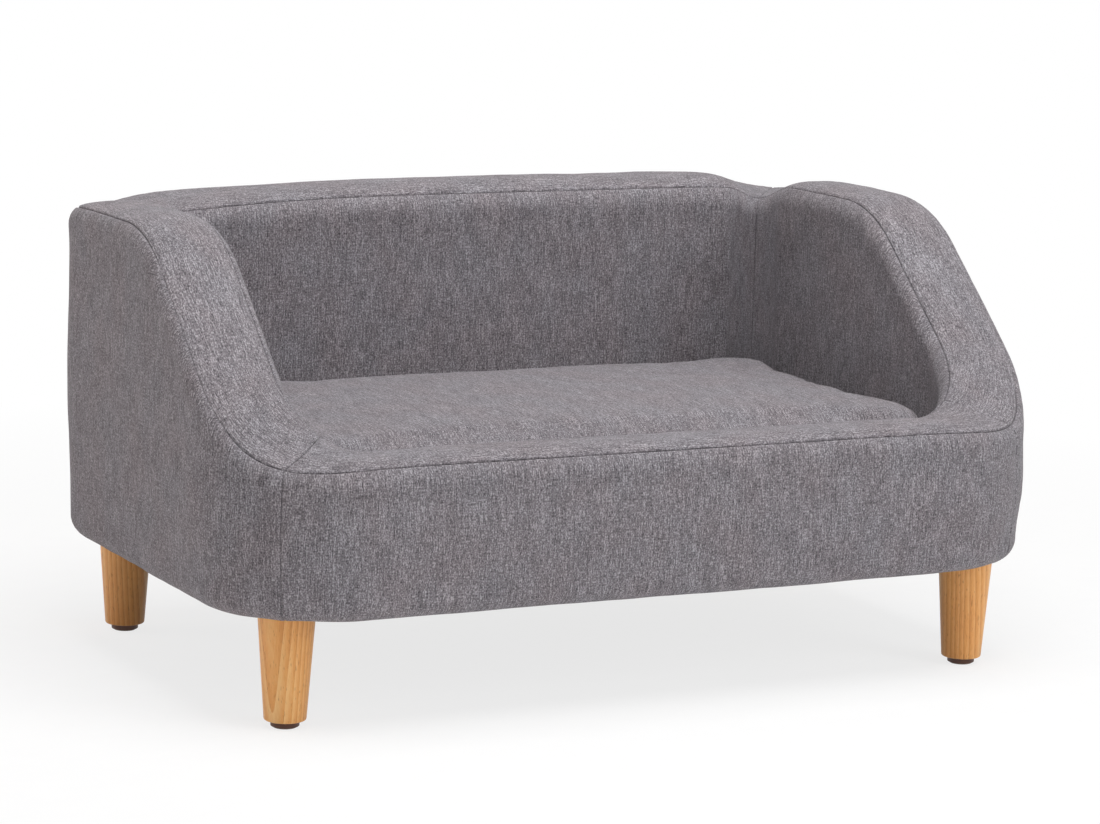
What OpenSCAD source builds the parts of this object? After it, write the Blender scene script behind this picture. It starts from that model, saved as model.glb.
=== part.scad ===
// Small upholstered sofa for a dog: padded walls with sloping arms, a loose cushion, four legs.
// Origin on the floor under the middle, X along the width, -Y towards the front, Z up.

/* [Body] */
// Width over the arms
body_w = 760; // [600:10:1000]
// Depth from the front to the back
body_d = 487; // [420:1:640]
// Height of the underside above the floor
under_z = 91; // [60:1:140]
// Corner radius of the body seen from above
corner_r = 112; // [95:1:150]
// Height of the seam on the arms and the back
seam_z = 374; // [330:1:450]
// Height of the seam along the front
front_seam_z = 211; // [195:1:240]
// How far the top bands swell above their seams
crown_h = 7.6; // [4:0.2:14]
// How far the seams sink towards the back mitres
mitre_dip = 9; // [0:1:14]
// Length over which the band regains its height beside a back mitre
mitre_reach = 100; // [40:5:160]

/* [Arm slope] */
// Fall of the slope from the level
slope_deg = 41; // [30:1:50]
// Where the slope's line meets the level of the arm, in front of the middle
slope_start = 12; // [0:1:40]
// Radius of the shoulder at the top of the slope
shoulder_r = 116; // [60:1:160]
// Radius of the hollow at the foot of the slope
foot_r = 94; // [50:1:110]
// Distance from the middle where the front band starts to climb to the arm
climb_from = 250; // [200:1:260]
// Distance from the middle where the climb ends
climb_to = 305; // [290:1:330]
// Angle of the front mitre seams, from the arm's side
mitre_deg = 50; // [35:1:60]
// Angle of the back mitre seams, from the arm's side
back_mitre_deg = 48; // [46:1:60]

/* [Padding] */
// Thickness of the arms and the back
arm_t = 79; // [72:1:90]
// Thickness of the front wall
front_t = 69; // [64:1:85]
// Thickness of the fabric with its wadding
cover_t = 6; // [3:0.5:8]
// Radius of the edge along the bottom
edge_r = 18; // [12:1:22]
// Radius of the rolls under the band's two seams
seam_r = 20; // [15:1:22]
// How far the middle of a roll lies below its seam
roll_low = 12; // [8:1:16]
// Slope of the cloth at the outer seam
outer_tilt_deg = 42; // [35:1:60]
// Slope of the cloth at the inner seam
inner_tilt_deg = 37; // [32:1:60]
// How far the outer face stands back along the bottom
face_low_inset = 4; // [0:0.5:6]
// How far the outer face stands back below the seam
face_top_inset = 1.5; // [0:0.5:4]
// Swell of the outer face
face_bulge = 2.5; // [0:0.5:3]
// Distance from the outline where the turned-under fabric ends
flap_inset = 36; // [30:1:38]
// Thickness of the turned-under fabric and of the dust cover
flap_t = 2; // [1:0.5:3]

/* [Frame] */
// Thickness of the boards
board_t = 15; // [12:1:18]
// Distance from the outline to the boards
board_inset = 26; // [24:1:30]
// Side of a corner post
post_w = 40; // [32:1:44]
// How far the corner posts stay below the panels' tops
post_drop = 4; // [2:1:8]
// Foam above the boards
top_foam = 24; // [18:1:32]
// How far the panels run past the start of the corners
panel_past = 50; // [42:1:52]
// Diameter of a frame screw
screw_d = 4; // [3:0.5:5]
// Length of a frame screw
screw_l = 42; // [35:1:50]
// Diameter of a screw head
screw_head_d = 8; // [7:0.5:9]
// Depth of a screw head
screw_head_h = 3; // [2:0.5:4]
// Distance of the outer screws from the ends of what they join
screw_end = 28; // [24:1:36]

/* [Legs] */
// Distance from the side's outline to a leg's middle
leg_side_inset = 65; // [62:1:72]
// Distance from the front's or back's outline to a leg's middle
leg_front_inset = 63; // [60:0.5:70]
// Diameter at the top of a leg
leg_top_d = 46; // [36:1:56]
// Diameter at the foot of a leg
leg_foot_d = 34; // [28:1:44]
// Width of the bevel round the foot of a leg
leg_bevel = 1.5; // [0.5:0.5:3]
// Diameter of the hanger bolt
bolt_d = 8; // [6:1:10]
// How far the bolt reaches into the leg
bolt_down = 38; // [30:1:45]
// How far the bolt reaches above the underside
bolt_up = 27; // [22:1:32]
// Diameter of a tee nut's flange
tee_flange_d = 22; // [18:1:26]
// Thickness of a tee nut's flange
tee_flange_t = 1.5; // [1:0.5:2]
// Wall of a tee nut's barrel
tee_wall = 1.2; // [0.8:0.2:2]
// Diameter of a glide
glide_d = 23; // [18:1:28]
// Height of a glide
glide_h = 5; // [4:0.5:8]
// Rim of a glide round its felt pad
glide_rim = 1.5; // [1:0.5:3]
// Thickness of the felt pad
pad_t = 2.5; // [2:0.5:3]
// How far the felt pad stands out below its glide
pad_out = 1; // [0.5:0.5:1.5]
// Diameter of a glide's nail
nail_d = 2; // [1.5:0.5:3]
// Length of a glide's nail above the glide
nail_l = 14; // [10:1:20]

/* [Seat] */
// Thickness of the seat pad
seat_pad_t = 8; // [4:1:12]
// Thickness of the deck cloth
deck_t = 2; // [1:0.5:3]
// Gap between the cushion and the arms and front
cushion_gap = 3; // [1:0.5:6]
// Gap between the cushion and the back
cushion_rear_gap = 8; // [7.5:0.5:12]
// Height of the cushion's upper edge above its underside
cushion_edge_h = 103; // [88:1:109]
// Swell of the cushion's top above its edge
cushion_crown = 6; // [3:1:10]
// Corner radius of the cushion seen from above
cushion_corner_r = 48; // [36:1:70]
// How far the cushion's sides draw in between the corners
draw_in = 4; // [0:0.5:7]
// Roundness of the cushion's upper edge
cushion_roll = 16; // [12:1:32]
// Roundness of the cushion's lower edge
cushion_under_roll = 9; // [5:1:14]
// Thickness of the cushion's cover
cushion_cover_t = 3; // [1.5:0.5:5]

/* [Zip] */
// Distance from the cushion's ends to the zip's ends
zip_end = 58; // [50:1:90]
// Width of the zip's tape
zip_tape_w = 26; // [20:1:28]
// Thickness of the zip's tape
zip_tape_t = 0.8; // [0.5:0.1:1]
// Width of the zip's chain
zip_chain_w = 6; // [4:0.5:7]
// Thickness of the zip's chain
zip_chain_t = 1.4; // [1:0.1:1.6]
// Length of the zip's slider
slider_l = 12; // [9:1:15]
// Height of the zip's slider
slider_h = 10; // [9:0.5:12]
// Wall of the zip's slider over its chain
slider_wall = 1.2; // [0.8:0.2:1.4]
// Length of the zip's pull
pull_l = 24; // [16:1:30]
// Width of the zip's pull
pull_w = 6; // [4:0.5:8]
// Thickness of the zip's pull and of its loop
pull_t = 0.9; // [0.6:0.1:1]

/* [Staples] */
// Width of a staple
staple_w = 10; // [8:1:12]
// Thickness of a staple's wire
staple_t = 0.7; // [0.5:0.1:1]
// Length of a staple's legs
staple_leg = 8; // [6:1:10]
// Distance of the staples from the dust cover's edge
staple_in = 5; // [4:1:8]
// Longest step from one staple to the next
staple_step = 62; // [50:1:90]

/* [Hidden] */

// Overrun of every cut
cut = 1;
// Clearance round a board's rounded edge and round screws, bolts and nails in their bores
fit = 0.2;
// Clearance of what slides, lifts or turns past its neighbour
slide_fit = 0.3;
// Gap between the base board's edge and the foam, more than the foam's flats fall short of an arc
edge_gap = 0.8;
// Facets of turned pieces
round_fn = 72;
// Facets of bores and screws
bore_fn = 32;

fabric = "slategray";
foam = "khaki";
timber = "burlywood";
steel = "silver";

// Middle of the corner arcs
arc_x = body_w / 2 - corner_r;
arc_y = body_d / 2 - corner_r;
// Steps of a corner, from a side's straight run to the mitre
corner_steps = 4;
// Steps of the shoulder's arc along the arm
shoulder_steps = 4;
// Steps of the rounded edges, and of the crown across a band
edge_steps = 3;
band_steps = 6;
// Places of the back's straight columns from its middle to its corner
back_shares = [2 / 3, 1 / 4];
// Places of the face's rows between its lower and its upper edge
face_shares = [1 / 3, 2 / 3];
// Power that makes the crown full in the middle, and the share of it that a back mitre loses
crown_power = 2.4;
crown_loss = 0.8;

// Reach of the shoulder and of the foot along the level and along the slope
shoulder_reach = shoulder_r * tan(slope_deg / 2);
foot_reach = foot_r * tan(slope_deg / 2);
// Where the slope's line meets the level of the front seam
slope_end = slope_start + (seam_z - front_seam_z) / tan(slope_deg);
shoulder_back_y = shoulder_reach - slope_start;
shoulder_front_y = -slope_start - shoulder_reach * cos(slope_deg);
foot_back_y = foot_reach * cos(slope_deg) - slope_end;
foot_front_y = -slope_end - foot_reach;

// Heights of the floor pieces
board_z = under_z + flap_t;
board_top_z = board_z + board_t;
deck_z = board_top_z + seat_pad_t;
cushion_z = deck_z + deck_t + slide_fit;
// Distances of the outer seam from the outline and of the inner seam from the lining
seam_inset = face_top_inset + seam_r * (1 - sin(outer_tilt_deg));
lining_inset = seam_r * (1 - sin(inner_tilt_deg));

// Height of the arm's seam at y
function arm_z(y) =
    y >= shoulder_back_y ? seam_z :
    y >= shoulder_front_y ? seam_z - shoulder_r + sqrt(pow(shoulder_r, 2) - pow(shoulder_back_y - y, 2)) :
    y >= foot_back_y ? seam_z + (y + slope_start) * tan(slope_deg) :
    y >= foot_front_y ? front_seam_z + foot_r - sqrt(pow(foot_r, 2) - pow(y - foot_front_y, 2)) :
    front_seam_z;

function clamp(v) = min(1, max(0, v));
function ease(v) = v * v * (3 - 2 * v);

// Height of the seams at any place: the arm's, eased down to the front's towards the middle
function top_z(x, y) = let (
    across = ease(clamp((abs(x) - climb_from) / (climb_to - climb_from))),
    along = ease(clamp(1 - y / foot_back_y)))
    front_seam_z + (arm_z(y) - front_seam_z) * max(across, along);

// A column is a place on the outline, the way inwards, and the wall's thickness there
function corner_column(sy, a) = let (share = a / 90)
    [arc_x + corner_r * cos(a), sy * (arc_y + corner_r * sin(a)), -cos(a), -sy * sin(a),
        sy > 0 ? arm_t : arm_t + (front_t - arm_t) * ease(share)];

arm_columns = concat(
    [for (i = [corner_steps : -1 : 0]) corner_column(-1, mitre_deg * i / corner_steps)],
    [for (y = [(shoulder_front_y - arc_y) / 2, shoulder_front_y]) [body_w / 2, y, -1, 0, arm_t]],
    [for (i = [1 : shoulder_steps])
        [body_w / 2, shoulder_front_y + (shoulder_back_y - shoulder_front_y) * i / shoulder_steps,
            -1, 0, arm_t]],
    [for (i = [0 : corner_steps]) corner_column(1, back_mitre_deg * i / corner_steps)]);

function mirror_x(c) = [-c[0], c[1], -c[2], c[3], c[4]];
function reversed(list) = [for (i = [len(list) - 1 : -1 : 0]) list[i]];

back_half = concat(
    [for (i = [0 : corner_steps])
        corner_column(1, back_mitre_deg + (90 - back_mitre_deg) * i / corner_steps)],
    [for (s = back_shares) [arc_x * s, body_d / 2, 0, -1, arm_t]]);
back_columns = concat(back_half, reversed([for (c = back_half) mirror_x(c)]));

front_half = concat(
    [[climb_from, -body_d / 2, 0, 1, front_t], [(climb_from + arc_x) / 2, -body_d / 2, 0, 1, front_t]],
    [for (i = [corner_steps : -1 : 0])
        corner_column(-1, mitre_deg + (90 - mitre_deg) * i / corner_steps)]);
front_columns = concat(reversed([for (c = front_half) mirror_x(c)]), front_half);

all_columns = concat(
    front_columns, [for (i = [1 : len(arm_columns) - 1]) arm_columns[i]],
    [for (i = [1 : len(back_columns) - 1]) back_columns[i]],
    [for (i = [len(arm_columns) - 2 : -1 : 1]) mirror_x(arm_columns[i])]);

// Distance of a column from the back mitre along the outline; the front is far from it
function past_mitre(c) = let (
    x = abs(c[0]),
    turn = x <= arc_x ? 90 : c[1] <= arc_y ? 0 : atan2(c[1] - arc_y, x - arc_x))
    c[1] < -arc_y ? body_w :
    PI / 180 * corner_r * (turn - back_mitre_deg) + max(0, arc_x - x) - max(0, arc_y - c[1]);

// From 1 at the back mitre to 0 further than the reach on either side
function mitre_share(c) = exp(-pow(past_mitre(c) / mitre_reach, 2));

function plan_at(c, n) = [c[0] + c[2] * n, c[1] + c[3] * n];
function seam_height(c, n) = let (p = plan_at(c, n)) top_z(p[0], p[1]) - mitre_dip * mitre_share(c);

// A row is [distance inwards, height, way into the wall (inwards, up), thickness of the cover]
function outer_rows(c) = let (
    top = seam_height(c, seam_inset),
    low = under_z + edge_r,
    high = top - roll_low) concat(
    [[flap_inset, under_z, 0, 1, flap_t]],
    [for (i = [0 : edge_steps]) let (a = 90 * i / edge_steps)
        [face_low_inset + edge_r * (1 - sin(a)), under_z + edge_r * (1 - cos(a)), sin(a), cos(a),
            i == 0 ? flap_t : cover_t]],
    [for (s = face_shares)
        [face_low_inset + (face_top_inset - face_low_inset) * s - face_bulge * 4 * s * (1 - s),
            low + (high - low) * s, 1, 0, cover_t]],
    [for (i = [0 : edge_steps]) let (a = (90 - outer_tilt_deg) * i / edge_steps)
        [face_top_inset + seam_r * (1 - cos(a)), high + seam_r * sin(a), cos(a), -sin(a), cover_t]]);

function band_rows(c) = let (
    outer_up = seam_r * cos(outer_tilt_deg) - roll_low,
    inner_up = seam_r * cos(inner_tilt_deg) - roll_low,
    crown = crown_h * (1 - crown_loss * mitre_share(c)))
    [for (i = [0 : band_steps]) let (
        s = i / band_steps,
        n = seam_inset + (c[4] - lining_inset - seam_inset) * s,
        a = 90 - outer_tilt_deg + (outer_tilt_deg + inner_tilt_deg) * s)
        [n, seam_height(c, n) + outer_up + (inner_up - outer_up) * s
            + crown * (1 - pow(abs(2 * s - 1), crown_power)), cos(a), -sin(a), cover_t]];

function lining_rows(c) = let (high = seam_height(c, c[4] - lining_inset) - roll_low) concat(
    [for (i = [edge_steps : -1 : 0]) let (a = (90 - inner_tilt_deg) * i / edge_steps)
        [c[4] - seam_r * (1 - cos(a)), high + seam_r * sin(a), -cos(a), -sin(a), cover_t]],
    [[c[4], board_top_z, -1, 0, cover_t]]);

// Point of a row, inside is 0 on the outer surface and 1 on the inner one
function row_point(c, r, inside) = let (d = r[4] * inside, p = plan_at(c, r[0] + r[2] * d))
    [p[0], p[1], r[1] + r[3] * d];

// Closed solid between two grids of points with the same columns and rows
module sheet_solid(outer, inner) {
    m = len(outer);
    k = len(outer[0]);
    function at(i, j, side) = side * m * k + i * k + j;
    quads = concat(
        [for (i = [0 : m - 2], j = [0 : k - 2])
            [at(i, j, 0), at(i, j + 1, 0), at(i + 1, j + 1, 0), at(i + 1, j, 0)]],
        [for (i = [0 : m - 2], j = [0 : k - 2])
            [at(i, j, 1), at(i + 1, j, 1), at(i + 1, j + 1, 1), at(i, j + 1, 1)]],
        [for (i = [0 : m - 2]) [at(i, 0, 0), at(i + 1, 0, 0), at(i + 1, 0, 1), at(i, 0, 1)]],
        [for (i = [0 : m - 2])
            [at(i, k - 1, 0), at(i, k - 1, 1), at(i + 1, k - 1, 1), at(i + 1, k - 1, 0)]],
        [for (j = [0 : k - 2]) [at(0, j, 0), at(0, j, 1), at(0, j + 1, 1), at(0, j + 1, 0)]],
        [for (j = [0 : k - 2])
            [at(m - 1, j, 0), at(m - 1, j + 1, 0), at(m - 1, j + 1, 1), at(m - 1, j, 1)]]);
    polyhedron(
        points = concat([for (c = outer, p = c) p], [for (c = inner, p = c) p]),
        faces = [for (q = quads, t = [[q[0], q[1], q[2]], [q[0], q[2], q[3]]]) t]);
}

// Middle of a list of points
function middle(list) = [for (i = [0 : 2]) let (v = [for (p = list) p[i]]) (max(v) + min(v)) / 2];

// Closed solid along rings of points, each end closed by a fan round the ring's middle
module ring_solid(rings) {
    m = len(rings);
    k = len(rings[0]);
    polyhedron(
        points = concat([for (r = rings, p = r) p], [middle(rings[0]), middle(rings[m - 1])]),
        faces = concat(
            [for (i = [0 : m - 2], j = [0 : k - 1]) let (a = i * k + j, b = i * k + (j + 1) % k)
                each [[a, b, b + k], [a, b + k, a + k]]],
            [for (j = [0 : k - 1]) [(j + 1) % k, j, m * k]],
            [for (j = [0 : k - 1]) [(m - 1) * k + j, (m - 1) * k + (j + 1) % k, m * k + 1]]));
}

// Padded panel along the columns, its rows given per column
module panel(columns, rows) {
    sheet_solid(
        [for (i = [0 : len(columns) - 1]) [for (r = rows[i]) row_point(columns[i], r, 0)]],
        [for (i = [0 : len(columns) - 1]) [for (r = rows[i]) row_point(columns[i], r, 1)]]);
}

// Foam that fills the wall inside its covers, down to the base board's underside
module wall_foam(columns) {
    function section(c) = let (outer = outer_rows(c), band = band_rows(c), lining = lining_rows(c)) concat(
        [for (j = [1 : len(outer) - 1]) row_point(c, outer[j], 1)],
        [for (j = [1 : len(band) - 1]) row_point(c, band[j], 1)],
        [for (j = [1 : len(lining) - 1]) row_point(c, lining[j], 1)],
        [let (p = plan_at(c, c[4] - cover_t)) [p[0], p[1], board_z]]);
    ring_solid([for (c = columns) section(c)]);
}

// Flat sheet over everything inside the distance n from the outline
module inset_plate(n, z, t) {
    translate([0, 0, z]) linear_extrude(t) polygon([for (c = all_columns) plan_at(c, n)]);
}

// Flat sheet that fills the well inside the linings
module well_plate(z, t) {
    translate([0, 0, z]) linear_extrude(t) polygon([for (c = all_columns) plan_at(c, c[4])]);
}

// The board's outline: a rectangle with true round corners
module board_plan(grow) {
    n = board_inset - grow;
    square([2 * arc_x, body_d - 2 * n], center = true);
    square([body_w - 2 * n, 2 * arc_y], center = true);
    for (sx = [-1, 1], sy = [-1, 1])
        translate([sx * arc_x, sy * arc_y]) circle(r = corner_r - n, $fn = round_fn);
}

// Frame

panel_x = body_w / 2 - board_inset - board_t;
panel_y = body_d / 2 - board_inset - board_t;
panel_half_d = arc_y + panel_past;
panel_half_w = arc_x + panel_past;
back_panel_top = seam_z - top_foam;
front_panel_top = front_seam_z - top_foam;
// The sloping edge of a side panel lies this far below the arm's slope
slope_drop = top_foam / cos(slope_deg);
slope_foot_y = (front_panel_top - seam_z + slope_drop) / tan(slope_deg) - slope_start;
slope_head_y = (slope_drop - top_foam) / tan(slope_deg) - slope_start;

module side_board() {
    translate([panel_x, 0, 0]) rotate([90, 0, 90]) linear_extrude(board_t) polygon([
        [-panel_half_d, board_top_z], [-panel_half_d, front_panel_top],
        [slope_foot_y, front_panel_top], [slope_head_y, back_panel_top],
        [panel_half_d, back_panel_top], [panel_half_d, board_top_z]]);
}

module back_board() {
    translate([-panel_half_w, panel_y, board_top_z])
        cube([2 * panel_half_w, board_t, back_panel_top - board_top_z]);
}

module front_board() {
    translate([-panel_half_w, -panel_y - board_t, board_top_z])
        cube([2 * panel_half_w, board_t, front_panel_top - board_top_z]);
}

module post(sx, sy) {
    top = (sy > 0 ? back_panel_top : front_panel_top) - post_drop;
    translate([sx * (panel_x - post_w / 2) - post_w / 2, sy * (panel_y - post_w / 2) - post_w / 2, board_top_z])
        cube([post_w, post_w, top - board_top_z]);
}

// A screw at the origin: its head's face at z = 0 and its point up
module screw(gap) {
    translate([0, 0, -(gap > 0 ? cut : 0)])
        cylinder(d = screw_head_d + 2 * gap, h = (gap > 0 ? cut : 0) + screw_head_h / 3, $fn = bore_fn);
    translate([0, 0, screw_head_h / 3])
        cylinder(d1 = screw_head_d + 2 * gap, d2 = screw_d + 2 * gap, h = screw_head_h * 2 / 3, $fn = bore_fn);
    cylinder(d = screw_d + 2 * gap, h = screw_l + gap, $fn = bore_fn);
}

// Height of the two screws through a panel into a post
function post_screw_heights(sy) = let (top = sy > 0 ? back_panel_top : front_panel_top)
    [board_top_z + screw_end, top - screw_end];
// Screws stand this far past the middle of the post's overlap with its panel
side_screw_y = (panel_half_d + panel_y - post_w) / 2;
end_screw_x = (panel_half_w + panel_x - post_w) / 2;
// Places of the screws from the base board up into the panels
edge_screw_x = panel_x + board_t / 2;
edge_screw_y = panel_y + board_t / 2;

// The two heights of a wall's screws differ from the other wall's, so that they pass in the post
cross_step = screw_d * 2;

module side_post_screws(sx, gap) {
    for (sy = [-1, 1], z = post_screw_heights(sy))
        translate([sx * (panel_x + board_t), sy * side_screw_y, z]) rotate([0, -sx * 90, 0]) screw(gap);
}

module end_post_screws(sy, gap) {
    for (sx = [-1, 1], z = post_screw_heights(sy))
        translate([sx * end_screw_x, sy * (panel_y + board_t), z - cross_step]) rotate([sy * 90, 0, 0]) screw(gap);
}

module edge_screws(gap) {
    for (sx = [-1, 1], sy = [-1, 1])
        translate([sx * edge_screw_x, sy * arc_y / 2, board_z]) screw(gap);
    for (sx = [-1, 0, 1], sy = [-1, 1])
        translate([sx * arc_x * 2 / 3, sy * edge_screw_y, board_z]) screw(gap);
}

module base_board() {
    color(timber) difference() {
        translate([0, 0, board_z]) linear_extrude(board_t) board_plan(0);
        edge_screws(fit);
        each_leg() {
            cylinder(d = bolt_d + 2 * tee_wall + 2 * fit, h = board_top_z + cut, $fn = bore_fn);
            translate([0, 0, board_top_z - tee_flange_t - fit])
                cylinder(d = tee_flange_d + 2 * fit, h = tee_flange_t + fit + cut, $fn = bore_fn);
        }
    }
}

module side_panel(sx) {
    color(timber) difference() {
        mirror([sx < 0 ? 1 : 0, 0, 0]) side_board();
        side_post_screws(sx, fit);
        edge_screws(fit);
    }
}

module back_panel() {
    color(timber) difference() {
        back_board();
        end_post_screws(1, fit);
        edge_screws(fit);
    }
}

module front_panel() {
    color(timber) difference() {
        front_board();
        end_post_screws(-1, fit);
        edge_screws(fit);
    }
}

module corner_post(sx, sy) {
    color(timber) difference() {
        post(sx, sy);
        side_post_screws(sx, fit);
        end_post_screws(sy, fit);
        translate([sx * leg_x, sy * leg_y, 0])
            cylinder(d = bolt_d + 2 * tee_wall + 2 * fit, h = under_z + bolt_up + fit, $fn = bore_fn);
    }
}

module frame_screws() {
    color(steel) {
        for (s = [-1, 1]) {
            side_post_screws(s, 0);
            end_post_screws(s, 0);
        }
        edge_screws(0);
    }
}

// Legs

leg_x = body_w / 2 - leg_side_inset;
leg_y = body_d / 2 - leg_front_inset;

module each_leg() {
    for (sx = [-1, 1], sy = [-1, 1]) translate([sx * leg_x, sy * leg_y, 0]) children();
}

glide_top_z = pad_out + glide_h;

module leg(sx, sy) {
    color("peru") translate([sx * leg_x, sy * leg_y, 0]) difference() {
        union() {
            translate([0, 0, glide_top_z])
                cylinder(d1 = leg_foot_d - 2 * leg_bevel, d2 = leg_foot_d, h = leg_bevel, $fn = round_fn);
            translate([0, 0, glide_top_z + leg_bevel])
                cylinder(d1 = leg_foot_d, d2 = leg_top_d, h = under_z - glide_top_z - leg_bevel, $fn = round_fn);
        }
        translate([0, 0, under_z - bolt_down - fit])
            cylinder(d = bolt_d + 2 * fit, h = bolt_down + fit + cut, $fn = bore_fn);
        translate([0, 0, glide_top_z - cut])
            cylinder(d = nail_d + 2 * fit, h = nail_l + fit + cut, $fn = bore_fn);
    }
}

module leg_bolts() {
    color(steel) each_leg() translate([0, 0, under_z - bolt_down])
        cylinder(d = bolt_d, h = bolt_down + bolt_up, $fn = bore_fn);
}

module tee_nuts() {
    color(steel) each_leg() difference() {
        union() {
            translate([0, 0, board_z])
                cylinder(d = bolt_d + 2 * tee_wall, h = board_t - tee_flange_t / 2, $fn = bore_fn);
            translate([0, 0, board_top_z - tee_flange_t]) cylinder(d = tee_flange_d, h = tee_flange_t, $fn = bore_fn);
        }
        cylinder(d = bolt_d + 2 * fit, h = board_top_z + cut, $fn = bore_fn);
    }
}

module glide(sx, sy) {
    color("dimgray") translate([sx * leg_x, sy * leg_y, 0]) difference() {
        translate([0, 0, pad_out]) cylinder(d = glide_d, h = glide_h, $fn = round_fn);
        translate([0, 0, pad_out - cut]) cylinder(d = glide_d - 2 * glide_rim, h = pad_t - pad_out + cut, $fn = round_fn);
        cylinder(d = nail_d + 2 * fit, h = glide_top_z + cut, $fn = bore_fn);
        translate([0, 0, pad_t - cut]) cylinder(d = 2 * nail_d + 2 * fit, h = nail_d / 2 + fit + cut, $fn = bore_fn);
    }
}

module glide_pads() {
    color("tan") each_leg() cylinder(d = glide_d - 2 * glide_rim - 2 * fit, h = pad_t, $fn = round_fn);
}

module glide_nails() {
    color(steel) each_leg() {
        translate([0, 0, pad_t]) cylinder(d = 2 * nail_d, h = nail_d / 2, $fn = bore_fn);
        translate([0, 0, pad_t]) cylinder(d = nail_d, h = glide_top_z - pad_t + nail_l, $fn = bore_fn);
    }
}

// Walls

module wall_cuts() {
    inset_plate(board_inset - edge_gap, board_z - cut, board_t + cut);
    for (s = [-1, 1]) mirror([s < 0 ? 1 : 0, 0, 0]) side_board();
    back_board();
    front_board();
    for (sx = [-1, 1], sy = [-1, 1]) post(sx, sy);
}

module arm_foam(sx) {
    color(foam) difference() {
        mirror([sx < 0 ? 1 : 0, 0, 0]) wall_foam(arm_columns);
        wall_cuts();
    }
}

module back_foam() {
    color(foam) difference() {
        wall_foam(back_columns);
        wall_cuts();
    }
}

module front_foam() {
    color(foam) difference() {
        wall_foam(front_columns);
        wall_cuts();
    }
}

module side_cover(sx) {
    color(fabric) mirror([sx < 0 ? 1 : 0, 0, 0]) panel(arm_columns, [for (c = arm_columns) outer_rows(c)]);
}

module arm_band(sx) {
    color(fabric) mirror([sx < 0 ? 1 : 0, 0, 0]) panel(arm_columns, [for (c = arm_columns) band_rows(c)]);
}

module arm_lining(sx) {
    color(fabric) mirror([sx < 0 ? 1 : 0, 0, 0]) panel(arm_columns, [for (c = arm_columns) lining_rows(c)]);
}

module back_cover() {
    color(fabric) panel(back_columns, [for (c = back_columns) outer_rows(c)]);
}

module back_band() {
    color(fabric) panel(back_columns, [for (c = back_columns) band_rows(c)]);
}

module back_lining() {
    color(fabric) panel(back_columns, [for (c = back_columns) lining_rows(c)]);
}

module front_cover() {
    color(fabric) panel(front_columns, [for (c = front_columns) outer_rows(c)]);
}

module front_band() {
    color(fabric) panel(front_columns, [for (c = front_columns) band_rows(c)]);
}

module front_lining() {
    color(fabric) panel(front_columns, [for (c = front_columns) lining_rows(c)]);
}

// Floor of the well and the underside

module seat_pad() {
    color(foam) well_plate(board_top_z, seat_pad_t);
}

module deck_cloth() {
    color("gray") well_plate(deck_z, deck_t);
}

module dust_cover() {
    color("black") difference() {
        inset_plate(flap_inset, under_z, flap_t);
        each_leg() cylinder(d = bolt_d + 2 * fit, h = board_z + cut, $fn = bore_fn);
    }
}

staple_half_w = body_w / 2 - flap_inset - staple_in;
staple_half_d = body_d / 2 - flap_inset - staple_in;

module staple() {
    translate([-staple_w / 2, -staple_t / 2, -staple_t]) cube([staple_w, staple_t, staple_t]);
    for (s = [-1, 1])
        translate([s * (staple_w - staple_t) / 2 - staple_t / 2, -staple_t / 2, -staple_t])
            cube([staple_t, staple_t, staple_t + staple_leg]);
}

// Rows of staples along the straight sides, kept off the legs
module dust_cover_staples() {
    run_x = leg_x - leg_top_d / 2 - staple_w;
    run_y = leg_y - leg_top_d / 2 - staple_w;
    nx = ceil(2 * run_x / staple_step);
    ny = ceil(2 * run_y / staple_step);
    color(steel) translate([0, 0, under_z]) {
        for (s = [-1, 1], i = [0 : nx])
            translate([run_x * (2 * i / nx - 1), s * staple_half_d, 0]) staple();
        for (s = [-1, 1], i = [0 : ny])
            translate([s * staple_half_w, run_y * (2 * i / ny - 1), 0]) rotate(90) staple();
    }
}

// Cushion

cushion_half_w = body_w / 2 - arm_t - cushion_gap;
cushion_front_y = -body_d / 2 + front_t + cushion_gap;
cushion_back_y = body_d / 2 - arm_t - cushion_rear_gap;
cushion_mid_y = (cushion_front_y + cushion_back_y) / 2;
cushion_half_d = (cushion_back_y - cushion_front_y) / 2;
cushion_mid_z = cushion_z + cushion_edge_h / 2;
// Inset of the small flat field in the middle of the top and of the underside
cushion_field = cushion_half_d - zip_tape_w / 2;
// Places of the rings on the top from the rolled edge to the field, as shares of the way
top_ring_shares = [0, 0.2, 0.5, 1];
// Power that makes the cushion's crown full in the middle
cushion_power = 2.6;

// Steps of the cushion's corner and along its long and short sides
cushion_corner_steps = 5;
long_steps = 6;
short_steps = 4;

// Rings of the cushion from the underside's field round to the top's: [inset, height, crown]
cushion_edge_z = cushion_z + cushion_edge_h;
roll_start_z = cushion_mid_z + zip_tape_w / 2;
cushion_rings = concat(
    [[cushion_field, cushion_z, 0], [cushion_under_roll, cushion_z, 0],
        [cushion_under_roll / 4, cushion_z + cushion_under_roll, 0],
        [0, cushion_mid_z - zip_tape_w / 2, 0], [0, roll_start_z, 0]],
    [for (a = [30, 60])
        [cushion_roll * (1 - cos(a)), roll_start_z + (cushion_edge_z - roll_start_z) * sin(a), 0]],
    [for (s = top_ring_shares)
        [cushion_roll + (cushion_field - cushion_roll) * s, cushion_edge_z, cushion_crown]]);

// Share of the crown at a place on the cushion's top, none at the rolled edge
function crown_share(x, y) =
    (1 - pow(clamp(abs(x) / (cushion_half_w - cushion_roll)), cushion_power))
    * (1 - pow(clamp(abs(y) / (cushion_half_d - cushion_roll)), cushion_power));

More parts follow.
